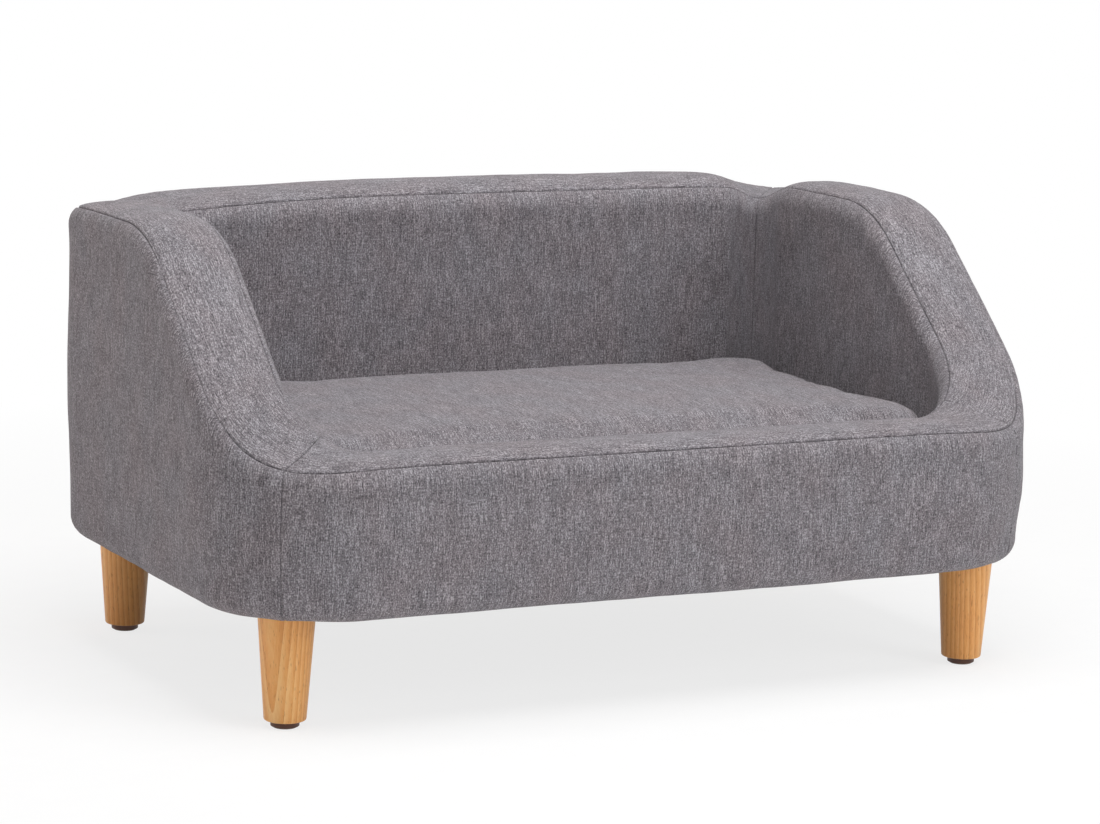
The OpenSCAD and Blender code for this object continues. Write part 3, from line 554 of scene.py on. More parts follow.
@dataclass(frozen=True)
class SofaForm:
    """The shape that all padded walls share, in metres.

    Places on the outline are distances from the middle of the front side, positive to the right.
    """

    width: float
    depth: float
    under_z: float
    board_top_z: float
    corner_r: float = 0.112
    seam_z: float = 0.374
    front_seam_z: float = 0.211
    slope: float = math.radians(41)
    slope_start: float = 0.012
    shoulder_r: float = 0.116
    foot_r: float = 0.094
    climb_from: float = 0.250
    climb_to: float = 0.305
    mitre: float = math.radians(51.5)
    mitre_skew: float = math.radians(15.5)
    back_mitre: float = math.radians(48)
    arm_t: float = 0.079
    front_t: float = 0.069
    edge_r: float = 0.018
    roll_r: float = 0.020
    roll_low: float = 0.012
    back_roll_low: float = 0.015
    outer_tilt: float = math.radians(42)
    inner_tilt: float = math.radians(37)
    arm_crown: float = 0.0056
    back_crown: float = 0.0088
    front_crown: float = 0.0060
    crown_power: float = 2.4
    flat_back: float = 0.9
    flat_front: float = 0.45
    flat_front_reach: float = 0.05
    face_low: float = 0.004
    face_top: float = 0.0015
    face_bulge: float = 0.0025
    flap_inset: float = 0.036
    front_dip: float = 0.004
    back_dip: float = 0.009
    back_inner_dip: float = 0.012
    dip_reach: float = 0.060
    back_reach_left: float = 0.145
    back_reach_right: float = 0.055

    @classmethod
    def from_frame(cls) -> "SofaForm":
        """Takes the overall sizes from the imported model."""
        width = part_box("side_cover_right")[1].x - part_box("side_cover_left")[0].x
        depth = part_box("back_cover")[1].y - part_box("front_cover")[0].y
        return cls(width=round(width, 3), depth=round(depth, 3),
                   under_z=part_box("dust_cover")[0].z, board_top_z=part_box("base_board")[1].z)

    @property
    def arc_x(self) -> float:
        """Distance of the corner arcs' middles from the centre, across the width."""
        return self.width / 2 - self.corner_r

    @property
    def arc_y(self) -> float:
        """Distance of the corner arcs' middles from the centre, across the depth."""
        return self.depth / 2 - self.corner_r

    @property
    def half_round(self) -> float:
        """Length of the outline from the front's middle to the back's."""
        return 2 * self.arc_x + 2 * self.arc_y + math.pi * self.corner_r

    @property
    def back_mitre_place(self) -> float:
        """Place of the back mitre."""
        return self.arc_x + self.corner_r * (QUARTER + self.back_mitre) + 2 * self.arc_y

    @property
    def shoulder(self) -> float:
        """Length that the shoulder's round takes from each of its straights."""
        return self.shoulder_r * math.tan(self.slope / 2)

    @property
    def foot(self) -> float:
        """Length that the foot's hollow takes from each of its straights."""
        return self.foot_r * math.tan(self.slope / 2)

    @property
    def slope_end(self) -> float:
        """Distance of the slope's sharp end in front of the centre."""
        return self.slope_start + (self.seam_z - self.front_seam_z) / math.tan(self.slope)

    @property
    def foot_back(self) -> float:
        """Where the slope turns into the hollow."""
        return self.foot * math.cos(self.slope) - self.slope_end

    @property
    def outer_inset(self) -> float:
        """Distance of the outer top seam from the outline."""
        return self.face_top + self.roll_r * (1 - math.sin(self.outer_tilt))

    def inner_inset(self, c: Column) -> float:
        """Distance of the inner top seam from the outline."""
        return c.wall - self.roll_r * (1 - math.sin(self.inner_tilt))

    def arm_height(self, y: float) -> float:
        """Height of an arm's seam at y: level, shoulder, slope, hollow foot, front level."""
        shoulder_back = self.shoulder - self.slope_start
        if y >= shoulder_back:
            return self.seam_z
        if y >= -self.slope_start - self.shoulder * math.cos(self.slope):
            fall = math.sqrt(self.shoulder_r ** 2 - (shoulder_back - y) ** 2)
            return self.seam_z - self.shoulder_r + fall
        if y >= self.foot_back:
            return self.seam_z + (y + self.slope_start) * math.tan(self.slope)
        if y >= -self.slope_end - self.foot:
            rise = math.sqrt(self.foot_r ** 2 - (y + self.slope_end + self.foot) ** 2)
            return self.front_seam_z + self.foot_r - rise
        return self.front_seam_z

    def top_height(self, c: Column, inset: float) -> float:
        """Height of the seams at a distance inwards: the arm's, eased down to the front's."""
        x, y = c.x + c.inward_x * inset, c.y + c.inward_y * inset
        across = ease((abs(x) - self.climb_from) / (self.climb_to - self.climb_from))
        along = ease(1 - y / self.foot_back)
        rise = self.arm_height(y) - self.front_seam_z
        return self.front_seam_z + rise * max(across, along)

    def mitre_place(self, share: float) -> float:
        """Place of the askew front mitre, at a share of the way from the outer seam inwards."""
        return self.arc_x + self.corner_r * (QUARTER - self.mitre - self.mitre_skew * share)

    def span(self, side: Side, share: float) -> tuple[float, float]:
        """Places where a wall's panels start and end, at a share of the way inwards."""
        front, back = self.mitre_place(share), self.back_mitre_place
        return {Side.FRONT: (-front, front), Side.ARM_RIGHT: (front, back),
                Side.ARM_LEFT: (-front, -back), Side.BACK: (back, 2 * self.half_round - back)}[side]

    def column(self, place: float) -> Column:
        """Finds the outline's point at a place.

        Args:
            place: Distance from the middle of the front side, positive to the right.

        Returns:
            The point, the way inwards and the wall's thickness there.
        """
        sign = 1.0 if place >= 0 else -1.0
        d = abs(place)
        if d > self.half_round:
            d, sign = 2 * self.half_round - d, -sign
        quarter = self.corner_r * math.pi / 2
        side_start = self.arc_x + quarter
        side_end = side_start + 2 * self.arc_y
        if d <= self.arc_x:
            return Column(place, sign * d, -self.depth / 2, 0.0, 1.0, self.front_t, 0.0)
        if d <= side_start:
            angle = (side_start - d) / self.corner_r
            thick = self.arm_t + (self.front_t - self.arm_t) * ease(angle / QUARTER)
            return self._on_corner(place, sign, -1.0, angle, thick, 0.0)
        if d <= side_end:
            y = -self.arc_y + d - side_start
            return Column(place, sign * self.width / 2, y, -sign, 0.0, self.arm_t, 0.0)
        if d <= side_end + quarter:
            angle = (d - side_end) / self.corner_r
            return self._on_corner(place, sign, 1.0, angle, self.arm_t, ease(angle / QUARTER))
        x = sign * (self.half_round - d)
        return Column(place, x, self.depth / 2, 0.0, -1.0, self.arm_t, 1.0)

    def _on_corner(self, place: float, sign_x: float, sign_y: float, angle: float, wall: float,
                   behind: float) -> Column:
        """Point of a corner's arc at an angle measured from the arm's side."""
        cos, sin = math.cos(angle), math.sin(angle)
        return Column(place, sign_x * (self.arc_x + self.corner_r * cos),
                      sign_y * (self.arc_y + self.corner_r * sin), -sign_x * cos, -sign_y * sin,
                      wall, behind)

    def _from_mitres(self, c: Column, share: float) -> tuple[float, float, float]:
        """Distances from the front and the back mitre, and how far the back one's pull reaches."""
        d = abs(c.place)
        back = (2 * self.half_round - d if d > self.half_round else d) - self.back_mitre_place
        behind = self.back_reach_left if c.x < 0 else self.back_reach_right
        return d - self.mitre_place(share), back, behind if back > 0 else self.dip_reach

    def _dip(self, c: Column, share: float) -> float:
        """How far the cloth pulls the seams down near the mitres."""
        front, back, reach = self._from_mitres(c, share)
        outer = self.back_dip * hump(back, self.dip_reach)
        inner = self.back_inner_dip * hump(back, reach)
        ahead = self.front_dip * hump(front, self.dip_reach)
        return ahead * (1 - share) + outer * (1 - share) + inner * share

    def _crown(self, c: Column, share: float) -> float:
        """Height of the band's crown: full along each wall and pulled flat at the mitres."""
        front, back, reach = self._from_mitres(c, share)
        full = self.arm_crown + (self.back_crown - self.arm_crown) * c.behind
        if front < 0:
            full = self.front_crown
        flat = self.flat_back * hump(back, reach)
        flat += self.flat_front * hump(front, self.flat_front_reach)
        return full * (1 - flat)

    def _inner_low(self, c: Column) -> float:
        """How far the inner roll's middle lies below the seam height."""
        return self.roll_low + (self.back_roll_low - self.roll_low) * c.behind

    def outer_height(self, c: Column) -> float:
        """Height on which the outer roll is built."""
        return self.top_height(c, self.outer_inset) - self._dip(c, 0.0)

    def inner_height(self, c: Column) -> float:
        """Height on which the inner roll is built."""
        return self.top_height(c, self.inner_inset(c)) - self._dip(c, 1.0)

    def length(self, strip: Strip, c: Column) -> float:
        """Length of a panel's section: from its top seam down, or across for the band."""
        if strip is Strip.BAND:
            return self.inner_inset(c) - self.outer_inset
        if strip is Strip.LINING:
            roll = (QUARTER - self.inner_tilt) * self.roll_r
            return roll + self.inner_height(c) - self._inner_low(c) - self.board_top_z
        face = self.outer_height(c) - self.roll_low - self.under_z - self.edge_r
        rolls = (QUARTER - self.outer_tilt) * self.roll_r + QUARTER * self.edge_r
        return rolls + face + self.flap_inset - self.face_low - self.edge_r

    def point(self, strip: Strip, c: Column, down: float) -> SectionPoint:
        """Section of a panel at a distance from its top seam, or a share of the band's way in."""
        make = {Strip.OUTER: self._outer, Strip.BAND: self._band, Strip.LINING: self._lining}
        return make[strip](c, down)

    def _outer(self, c: Column, down: float) -> SectionPoint:
        """Section of the outer cover: roll, swelling face, lower edge and turned-under flap."""
        high = self.outer_height(c) - self.roll_low
        low = self.under_z + self.edge_r
        roll = (QUARTER - self.outer_tilt) * self.roll_r
        if down < roll:
            a = self.outer_tilt + down / self.roll_r
            return SectionPoint(self.face_top + self.roll_r * (1 - math.sin(a)),
                                high + self.roll_r * math.cos(a), math.sin(a), -math.cos(a))
        down -= roll
        if down < high - low:
            s = 1 - down / (high - low)
            swell = self.face_bulge * math.sin(math.pi * s) ** 2
            inset = self.face_low + (self.face_top - self.face_low) * s - swell
            return SectionPoint(inset, low + (high - low) * s, 1.0, 0.0)
        down -= high - low
        if down < QUARTER * self.edge_r:
            a = QUARTER - down / self.edge_r
            return SectionPoint(self.face_low + self.edge_r * (1 - math.sin(a)),
                                self.under_z + self.edge_r * (1 - math.cos(a)),
                                math.sin(a), math.cos(a))
        return SectionPoint(self.face_low + self.edge_r + down - QUARTER * self.edge_r,
                            self.under_z, 0.0, 1.0)

    def _band_height(self, c: Column, share: float) -> float:
        """Height of the band's surface at a share of the way inwards."""
        outer = self.roll_r * math.cos(self.outer_tilt) - self.roll_low
        inner = self.roll_r * math.cos(self.inner_tilt) - self._inner_low(c)
        inset = self.outer_inset + self.length(Strip.BAND, c) * share
        crown = self._crown(c, share) * (1 - abs(2 * share - 1) ** self.crown_power)
        height = self.top_height(c, inset) - self._dip(c, share) + outer
        return height + (inner - outer) * share + crown

    def _band(self, c: Column, share: float) -> SectionPoint:
        """Section of the top band at a share of the way from the outer to the inner seam."""
        step, width = 0.02, self.length(Strip.BAND, c)
        low, high = max(0.0, share - step), min(1.0, share + step)
        rise = self._band_height(c, high) - self._band_height(c, low)
        run = (high - low) * width
        size = math.hypot(rise, run)
        return SectionPoint(self.outer_inset + width * share, self._band_height(c, share),
                            rise / size, -run / size)

    def _lining(self, c: Column, down: float) -> SectionPoint:
        """Section of the lining: roll and straight fall to the board."""
        high = self.inner_height(c) - self._inner_low(c)
        roll = (QUARTER - self.inner_tilt) * self.roll_r
        if down < roll:
            a = self.inner_tilt + down / self.roll_r
            return SectionPoint(c.wall - self.roll_r * (1 - math.sin(a)),
                                high + self.roll_r * math.cos(a), -math.sin(a), -math.cos(a))
        return SectionPoint(c.wall, high - (down - roll), -1.0, 0.0)


@dataclass(frozen=True)
class Sewing:
    """How sewn cloth behaves at its seams and between them, in metres."""

    seam_depth: float = 0.0012
    seam_width: float = 0.0009
    seam_lean: float = 0.45
    lean_reach: float = 0.004
    # Shares of the groove and of the painted seam shade at upright end seams, at the band's mitres
    # and on an arm's outer slope.
    upright_share: float = 0.55
    mitre_share: float = 0.85
    slope_share: float = 0.4
    slope_margin: float = 0.04
    slope_fade: float = 0.12
    puff: float = 0.0007
    puff_at: float = 0.010
    pucker: float = 0.0003
    pucker_step: float = 0.0065
    pucker_width: float = 0.03
    pucker_reach: float = 0.011
    gather: float = 0.0012
    gather_step: float = 0.0075
    gather_width: float = 0.05
    gather_reach: float = 0.020
    gather_span: float = 0.060
    gather_least: float = 0.15
    drift: float = 0.0011
    drift_step: float = 0.085
    ripple: float = 0.00045
    ripple_step: float = 0.030
    still: float = 0.002
    calm: float = 0.012
    # Width of the painted shadow along a seam.
    shade_width: float = 0.0006
    thickness: float = 0.0022

    def groove(self, gap: float) -> float:
        """How far the cloth sinks in at a distance from a seam."""
        return self.seam_depth * hump(gap, self.seam_width)

    def swell(self, gap: float) -> float:
        """How far the cloth puffs out beside a seam."""
        return self.puff * (gap / self.puff_at) * math.exp(1 - gap / self.puff_at)

    def shade(self, gap: float) -> float:
        """How much of a seam's shadow falls at a distance from it."""
        return hump(gap, self.shade_width)

    def seam_way(self, c: Column, inward: Vector, gap: float, outer: bool) -> Vector:
        """Way a top seam sinks in, the same for both panels that it joins.

        Args:
            c: Column of the outline.
            inward: The panel's own way into the wall.
            gap: Distance from the top seam.
            outer: True at the outer seam, False at the inner one.

        Returns:
            A unit vector.
        """
        lean = self.seam_lean if outer else -self.seam_lean
        shared = Vector((c.inward_x * lean, c.inward_y * lean, -math.sqrt(1 - lean * lean)))
        return inward.lerp(shared, hump(gap, self.lean_reach)).normalized()

    def unevenness(self, point: Vector, gap: float, along: float, gathered: float) -> float:
        """Small outward swells: puckers at the seam, gathers near a corner and a slow drift.

        Args:
            point: Place on the cloth.
            gap: Distance from the nearest seam.
            along: Distance along that seam.
            gathered: From 0 to 1, how much the cloth is gathered here.

        Returns:
            The offset outwards.
        """
        pucker = noise.noise(Vector((along / self.pucker_step, gap / self.pucker_width, 3.7)))
        pucker *= self.pucker * math.exp(-gap / self.pucker_reach)
        fold = noise.noise(Vector((along / self.gather_step, gap / self.gather_width, 8.1)))
        fold *= self.gather * gathered * math.exp(-gap / self.gather_reach)
        slow = self.drift * noise.noise(point / self.drift_step)
        quick = self.ripple * noise.noise(point / self.ripple_step + Vector((4.0, 1.0, 9.0)))
        near = (pucker + fold) * min(1.0, gap / self.still)
        return near + (slow + quick) * min(1.0, gap / self.calm)


@dataclass
class PaddedWall:
    """One wall of the sofa: its outer cover, top band and lining over a foam wrap."""

    form: SofaForm
    side: Side
    paint: Paint
    sewing: Sewing = field(default_factory=Sewing)
    step: float = 0.0042
    near: tuple[float, ...] = (0.0, 0.0005, 0.0010, 0.0016, 0.0025, 0.0040, 0.0065, 0.0095, 0.0135)
    fill: float = 0.8
    foam_under: float = 0.0045
    foam_step: float = 0.02
    board_inset: float = 0.026
    board_t: float = 0.015
    top_foam: float = 0.024

    def build(self) -> list[Obj]:
        """Builds the wall's three panels and the foam under them."""
        return [self._panel(strip) for strip in Strip] + [self._foam()]

    @property
    def _is_arm(self) -> bool:
        """True for the two arms."""
        return self.side in (Side.ARM_LEFT, Side.ARM_RIGHT)

    def _name(self, strip: Strip | None) -> str:
        """Name of the CAD node that a panel, or the foam, stands for."""
        part = "foam" if strip is None else "cover" if strip is Strip.OUTER else strip.value
        if not self._is_arm:
            return f"{self.side.value}_{part}"
        hand = self.side.value.split("_")[1]
        return f"side_cover_{hand}" if strip is Strip.OUTER else f"arm_{part}_{hand}"

    def _length(self, share: float) -> float:
        """Length of the wall along the outline."""
        start, end = self.form.span(self.side, share)
        return abs(end - start)

    def _column(self, run_share: float, share: float) -> Column:
        """Column at a share of the wall's run and a share of the way inwards."""
        start, end = self.form.span(self.side, share)
        return self.form.column(start + (end - start) * run_share)

    def _tallest(self, strip: Strip) -> float:
        """Length of a panel's section where the wall is at its tallest."""
        return self.form.length(strip, self._column(0.75 if self._is_arm else 0.5, 0.0))

    def _across(self, strip: Strip) -> list[float]:
        """Shares of the rows across a panel, close together at its top seams."""
        length = self._tallest(strip)
        if strip is Strip.BAND:
            rows = graded(length, self.step, self.near)
        else:
            rows = graded_from_start(length, round(length / self.step), self.near)
        return [row / length for row in rows]

    def _panel(self, strip: Strip) -> Obj:
        """Builds one panel as a grid laid over the wall and sewn at its edges."""
        length = self._length(0.0)
        runs = [run / length for run in graded(length, self.step, self.near)]
        rows = self._across(strip)
        bm = bmesh.new()
        bmesh.ops.create_grid(bm, x_segments=len(runs) - 1, y_segments=len(rows) - 1, size=1.0)
        shade = bm.verts.layers.float.new(LinenWeave.seam_shade_layer)
        cloth = bm.loops.layers.uv.new(LinenWeave.uv_layer)
        bm.verts.index_update()
        flat = []
        for vert in bm.verts:
            i, j = grid_place(vert.co, len(runs) - 1, len(rows) - 1)
            flat.append(self._place(vert, shade, strip, runs[i], rows[j]))
        for face in bm.faces:
            for loop in face.loops:
                loop[cloth].uv = flat[loop.vert.index]
        self._face_outwards(bm, strip)
        name = self._name(strip)
        piece = finish_mesh(bm, f"{name}_cloth", self.paint.linen)
        wall = piece.modifiers.new("cloth_thickness", "SOLIDIFY")
        wall.thickness = self.sewing.thickness
        wall.offset = -1.0
        attach(piece, Body.SOFA, name)
        return piece

    def _section(self, strip: Strip, run: float,
                 row: float) -> tuple[Column, SectionPoint, float, float]:
        """Finds a panel's place.

        Args:
            strip: The panel.
            run: Share of the wall's run.
            row: Share of the panel's rows.

        Returns:
            Column, section point, distance down and the panel's whole length there.
        """
        form = self.form
        if strip is Strip.BAND:
            c = self._column(run, row)
            width = form.length(strip, c)
            return c, form.point(strip, c, row), row * width, width
        c = self._column(run, 0.0 if strip is Strip.OUTER else 1.0)
        length, full, near = form.length(strip, c), self._tallest(strip), self.near[-1]
        down = row * full
        if down > near:
            down = near + (down - near) * (length - near) / (full - near)
        return c, form.point(strip, c, down), down, length

    def _gathered(self, strip: Strip, end_gap: float, run: float) -> float:
        """How much a side cover is gathered, which is near its front mitre."""
        least, span = self.sewing.gather_least, self.sewing.gather_span
        if not self._is_arm or strip is not Strip.OUTER or run > 0.5:
            return least
        return max(least, 1 - abs(end_gap - span / 2) / span)

    def _seam_share(self, c: Column, outer: bool) -> float:
        """How deep a top seam sinks and how much painted shade it takes: less on an arm's outer
        slope.
        """
        if not self._is_arm or not outer:
            return 1.0
        form, sewing = self.form, self.sewing
        rise = (form.outer_height(c) - form.front_seam_z) / (form.seam_z - form.front_seam_z)
        inside = min(rise - sewing.slope_margin, 1 - sewing.slope_margin - rise)
        return 1 - (1 - sewing.slope_share) * ease(inside / sewing.slope_fade)

    def _place(self, vert: bmesh.types.BMVert, shade: object, strip: Strip, run: float,
               row: float) -> tuple[float, float]:
        """Moves a grid vertex to its place on the wall, sets its painted seam shade and returns its
        flat cloth coordinate.
        """
        c, section, down, length = self._section(strip, run, row)
        sewing, band = self.sewing, strip is Strip.BAND
        inward = Vector((c.inward_x * section.inward, c.inward_y * section.inward, section.upward))
        point = c.point(section.inset, section.z)
        end_gap = min(run, 1 - run) * self._length(row if band else 0.0)
        seam_gap = min(down, length - down) if band else down
        gap = min(end_gap, seam_gap)
        along = c.place if seam_gap <= end_gap else down
        out = sewing.unevenness(point, gap, along, self._gathered(strip, end_gap, run))
        out += sewing.swell(seam_gap) * min(1.0, end_gap / 0.01)
        outer = strip is Strip.OUTER or (band and row < 0.5)
        upright = sewing.mitre_share if band else sewing.upright_share
        drawn = self._seam_share(c, outer)
        groove = max(drawn * sewing.groove(seam_gap), upright * sewing.groove(end_gap))
        vert.co = point - inward * out + sewing.seam_way(c, inward, seam_gap, outer) * groove
        # Painted seam shade: darkest in the groove, scaled like the groove at the ends and on the
        # slope.
        vert[shade] = max(drawn * sewing.shade(seam_gap), upright * sewing.shade(end_gap))
        return (down + 0.31, c.place) if band else (c.place, length - down)

    def _face_outwards(self, bm: Bm, strip: Strip) -> None:
        """Turns the panel's faces away from the wall if they point into it."""
        bm.normal_update()
        middle = self._column(0.5, 0.0)
        away = Vector((-middle.inward_x, -middle.inward_y, 0.0))
        if strip is Strip.LINING:
            away = -away
        if strip is Strip.BAND:
            away = Vector((0.0, 0.0, 1.0))
        total = sum((f.normal * f.calc_area() for f in bm.faces), Vector())
        if total.dot(away) < 0:
            bmesh.ops.reverse_faces(bm, faces=bm.faces[:])

    def _foam_section(self, run: float) -> list[Vector]:
        """Closed outline of the foam wrap: round the cloth's inside and the board."""
        form, points = self.form, []
        for strip, rows in ((Strip.OUTER, (0.72, 0.5, 0.25, 0.12, 0.06, 0.02)),
                            (Strip.BAND, (0.1, 0.3, 0.5, 0.7, 0.9)),
                            (Strip.LINING, (0.04, 0.1, 0.16, 0.3, 0.6, 0.98))):
            for row in rows:
                band = strip is Strip.BAND
                c = self._column(run, row if band else 0.0 if strip is Strip.OUTER else 1.0)
                point = form.point(strip, c, row if band else row * form.length(strip, c))
                points.append(c.point(point.inset + point.inward * self.foam_under,
                                      point.z + point.upward * self.foam_under))
        c = self._column(run, 0.5)
        top = min(form.outer_height(c), form.inner_height(c)) - self.top_foam
        board_inside = self.board_inset + self.board_t
        for inset, z in ((board_inside, points[-1].z), (board_inside, top),
                         (self.board_inset, top), (self.board_inset, points[0].z)):
            points.append(c.point(inset, z))
        return points

    def _foam(self) -> Obj:
        """Foam wrap: one closed body that follows the cloth from mitre to mitre."""
        sections = [self._foam_section(run) for run in graded(1.0, self.foam_step, (0.0,))]
        columns, rows = len(sections) - 1, len(sections[0])
        bm = bmesh.new()
        bmesh.ops.create_grid(bm, x_segments=columns, y_segments=rows, size=1.0)
        for vert in bm.verts:
            i, j = grid_place(vert.co, columns, rows)
            vert.co = sections[i][j % rows]
        bmesh.ops.remove_doubles(bm, verts=bm.verts[:], dist=TOUCH)
        ends = [e for e in bm.edges if e.is_boundary]
        bmesh.ops.holes_fill(bm, edges=ends, sides=rows + 1)
        close(bm)
        node = self._name(None)
        foam = finish_mesh(bm, f"{node}_wrap", self.paint.foam, 40.0)
        return attach(foam, Body.SOFA, node)


@dataclass
class SeatCushion:
    """The loose cushion: a boxed cover blown up over its foam, sewn along two rims."""

    paint: Paint
    sewing: Sewing = field(default_factory=Sewing)
    low: Vector = field(default_factory=lambda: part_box("cushion_cover")[0])
    high: Vector = field(default_factory=lambda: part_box("cushion_cover")[1])
    swell: float = 0.008
    corner_r: float = 0.040
    top_roll: float = 0.014
    under_roll: float = 0.009
    cuts: tuple[float, ...] = (0.15, 0.4, 0.62, 0.8, 0.9)
    draw_in: float = 0.007
    crown: float = 0.006
    crown_power: float = 2.6
    voxel: float = 0.0055
    pressure: float = 4.0
    cap: float = 0.012
    rise: float = 0.0045
    frames: int = 20
    seam_heights: tuple[float, float] = (0.030, 0.072)
    seam_cuts: tuple[float, ...] = (-0.0045, -0.0027, -0.0015, -0.0007, 0.0, 0.0007, 0.0015, 0.0027,
                                    0.0045)
    seam_reach: float = 0.03
    pucker: float = 0.0007
    pucker_step: float = 0.0075
    pucker_reach: float = 0.012
    dent: float = 0.0012
    dent_step: float = 0.08
    dent_from: float = 0.6
    cover_t: float = 0.003
    fill: float = 0.75
    under_shift: float = 1.3

    def build(self) -> list[Obj]:
        """Builds, inflates, sews and dresses the cushion's cover, and its foam core inside."""
        cover = finish_mesh(self._blank(), "cushion_cloth", self.paint.linen)
        self._apply(cover, "REMESH", mode="VOXEL", voxel_size=self.voxel)
        start = [v.co.copy() for v in cover.data.vertices]
        self._inflate(cover)
        self._fit(cover, start)
        core = self._core(cover)
        self._apply(cover, "SUBSURF", levels=1, render_levels=1)
        self._sew(cover)
        attach(cover, Body.CUSHION, "cushion_cover")
        return [cover, core]

    def _blank(self) -> Bm:
        """Boxed cushion before it is filled, with its sides drawn in between the corners."""
        bm = bmesh.new()
        bmesh.ops.create_cube(bm, size=1.0)
        low = self.low + Vector((self.swell, self.swell, 0.0))
        high = self.high - Vector((self.swell, 0.0, self.crown + self.swell))
        size, middle = high - low, (high + low) / 2
        bmesh.ops.scale(bm, vec=size, verts=bm.verts)
        bevel(bm, [e for e in bm.edges if abs(e.verts[0].co.z - e.verts[1].co.z) > size.z / 2],
              self.corner_r, 8)
        for sign, roll in ((1, self.top_roll), (-1, self.under_roll)):
            rim = size.z / 2 - 10 * TOUCH
            bevel(bm, [e for e in bm.edges if all(sign * v.co.z > rim for v in e.verts)], roll, 5)
        for sign in (-1, 1):
            for share in self.cuts:
                for axis in (0, 1):
                    at, way = Vector(), Vector()
                    at[axis], way[axis] = sign * share * size[axis] / 2, 1.0
                    cut(bm, at, way)
        for vert in bm.verts:
            x, y = vert.co.x / (size.x / 2), vert.co.y / (size.y / 2)
            pull_x = self.draw_in * max(0.0, 1 - y * y) * x ** 3
            pull_y = self.draw_in * max(0.0, 1 - x * x) * min(0.0, y) ** 3
            dome = self.crown * max(0.0, 1 - abs(x) ** self.crown_power)
            dome *= max(0.0, 1 - abs(y) ** self.crown_power)
            vert.co += Vector((-pull_x, -pull_y, dome if vert.co.z > 0 else 0.0)) + middle
        close(bm)
        return bm

    def _apply(self, piece: Obj, kind: str, **settings: object) -> None:
        """Adds a modifier and bakes its result into the mesh."""
        modifier = piece.modifiers.new(kind.lower(), kind)
        for name, value in settings.items():
            setattr(modifier, name, value)
        self._bake(piece)

    def _bake(self, piece: Obj) -> None:
        """Replaces the mesh by what its modifiers make of it."""
        shown = piece.evaluated_get(bpy.context.evaluated_depsgraph_get())
        mesh = bpy.data.meshes.new_from_object(shown)
        old = piece.data
        piece.modifiers.clear()
        piece.data = mesh
        bpy.data.meshes.remove(old)

    def _inflate(self, piece: Obj) -> None:
        """Blows the cover up with a cloth simulation without gravity."""
        cloth = piece.modifiers.new("cloth", "CLOTH")
        settings = cloth.settings
        settings.quality = 5
        settings.mass = 0.35
        settings.tension_stiffness = 22
        settings.compression_stiffness = 14
        settings.bending_stiffness = 1.2
        settings.use_pressure = True
        settings.uniform_pressure_force = self.pressure
        settings.effector_weights.gravity = 0.0
        cloth.point_cache.frame_start = 1
        cloth.point_cache.frame_end = self.frames
        for step in range(1, self.frames + 1):
            bpy.context.scene.frame_set(step)
        self._bake(piece)
        bpy.context.scene.frame_set(1)

    def _fit(self, piece: Obj, start: list[Vector]) -> None:
        """Caps how far each point moved and seats the cushion, flat below and at the zip."""
        points = []
        for vert, before in zip(piece.data.vertices, start):
            move = vert.co - before
            move *= min(1.0, self.cap / max(move.length, 1e-9))
            move.z = max(-self.rise, min(self.rise, move.z))
            points.append(before + move)
        low = (min(p.x for p in points), min(p.y for p in points), min(p.z for p in start))
        high = (max(p.x for p in points), max(p.y for p in start), max(p.z for p in points))
        low, high, size = Vector(low), Vector(high), self.high - self.low
        for vert, p in zip(piece.data.vertices, points):
            share = Vector(((p[i] - low[i]) / (high[i] - low[i]) for i in range(3)))
            held = (min(1.0, max(0.0, s)) for s in share)
            co = Vector((self.low[i] + size[i] * s for i, s in enumerate(held)))
            top = ease((share.z - self.dent_from) / (1 - self.dent_from))
            co.z -= self.dent * top * (0.5 + 0.5 * noise.noise(co / self.dent_step))
            vert.co = co

    def _core(self, cover: Obj) -> Obj:
        """Foam core: the cover's shape, smaller by the cloth's thickness."""
        bm = bmesh.new()
        bm.from_mesh(cover.data)
        bm.normal_update()
        for vert, way in [(v, v.normal.copy()) for v in bm.verts]:
            vert.co -= way * self.cover_t
        core = finish_mesh(bm, "cushion_core_foam", self.paint.foam)
        return attach(core, Body.CUSHION, "cushion_core")

    def _sew(self, piece: Obj) -> None:
        """Cuts edge loops along both rims, sinks the seams, paints shade into them and lays the
        weave on the cloth.
        """
        bm = bmesh.new()
        bm.from_mesh(piece.data)
        up = Vector((0.0, 0.0, 1.0))
        seams = [self.low.z + h for h in self.seam_heights]
        for seam in seams:
            for gap in self.seam_cuts:
                cut(bm, up * (seam + gap), up)
        bmesh.ops.recalc_face_normals(bm, faces=bm.faces[:])
        bm.normal_update()
        # Painted shade along both rim seams, strongest in the groove.
        shade = bm.verts.layers.float.new(LinenWeave.seam_shade_layer)
        for vert, way in [(v, v.normal.copy()) for v in bm.verts]:
            gap = min(abs(vert.co.z - seam) for seam in seams)
            if gap > self.seam_reach:
                continue
            place = Vector((self._run(vert.co) / self.pucker_step, gap / self.seam_reach, 5.0))
            pucker = noise.noise(place) * math.exp(-gap / self.pucker_reach)
            swell = self.pucker * pucker * min(1.0, gap / self.sewing.still)
            vert.co -= Vector((way.x, way.y, 0.0)) * (self.sewing.groove(gap) - swell)
            vert[shade] = self.sewing.shade(gap)
        cloth = bm.loops.layers.uv.new(LinenWeave.uv_layer)
        for face in bm.faces:
            centre = face.calc_center_median()
            for loop in face.loops:
                loop[cloth].uv = self._weave_place(loop.vert.co, centre, seams)
            face.smooth = True
        bm.to_mesh(piece.data)
        bm.free()

    def _corner(self, co: Vector) -> Vector:
        """Nearest point of the outline without its rounded corners."""
        inner = self.corner_r
        return Vector((min(self.high.x - inner, max(self.low.x + inner, co.x)),
                       min(self.high.y - inner, max(self.low.y + inner, co.y)), 0.0))

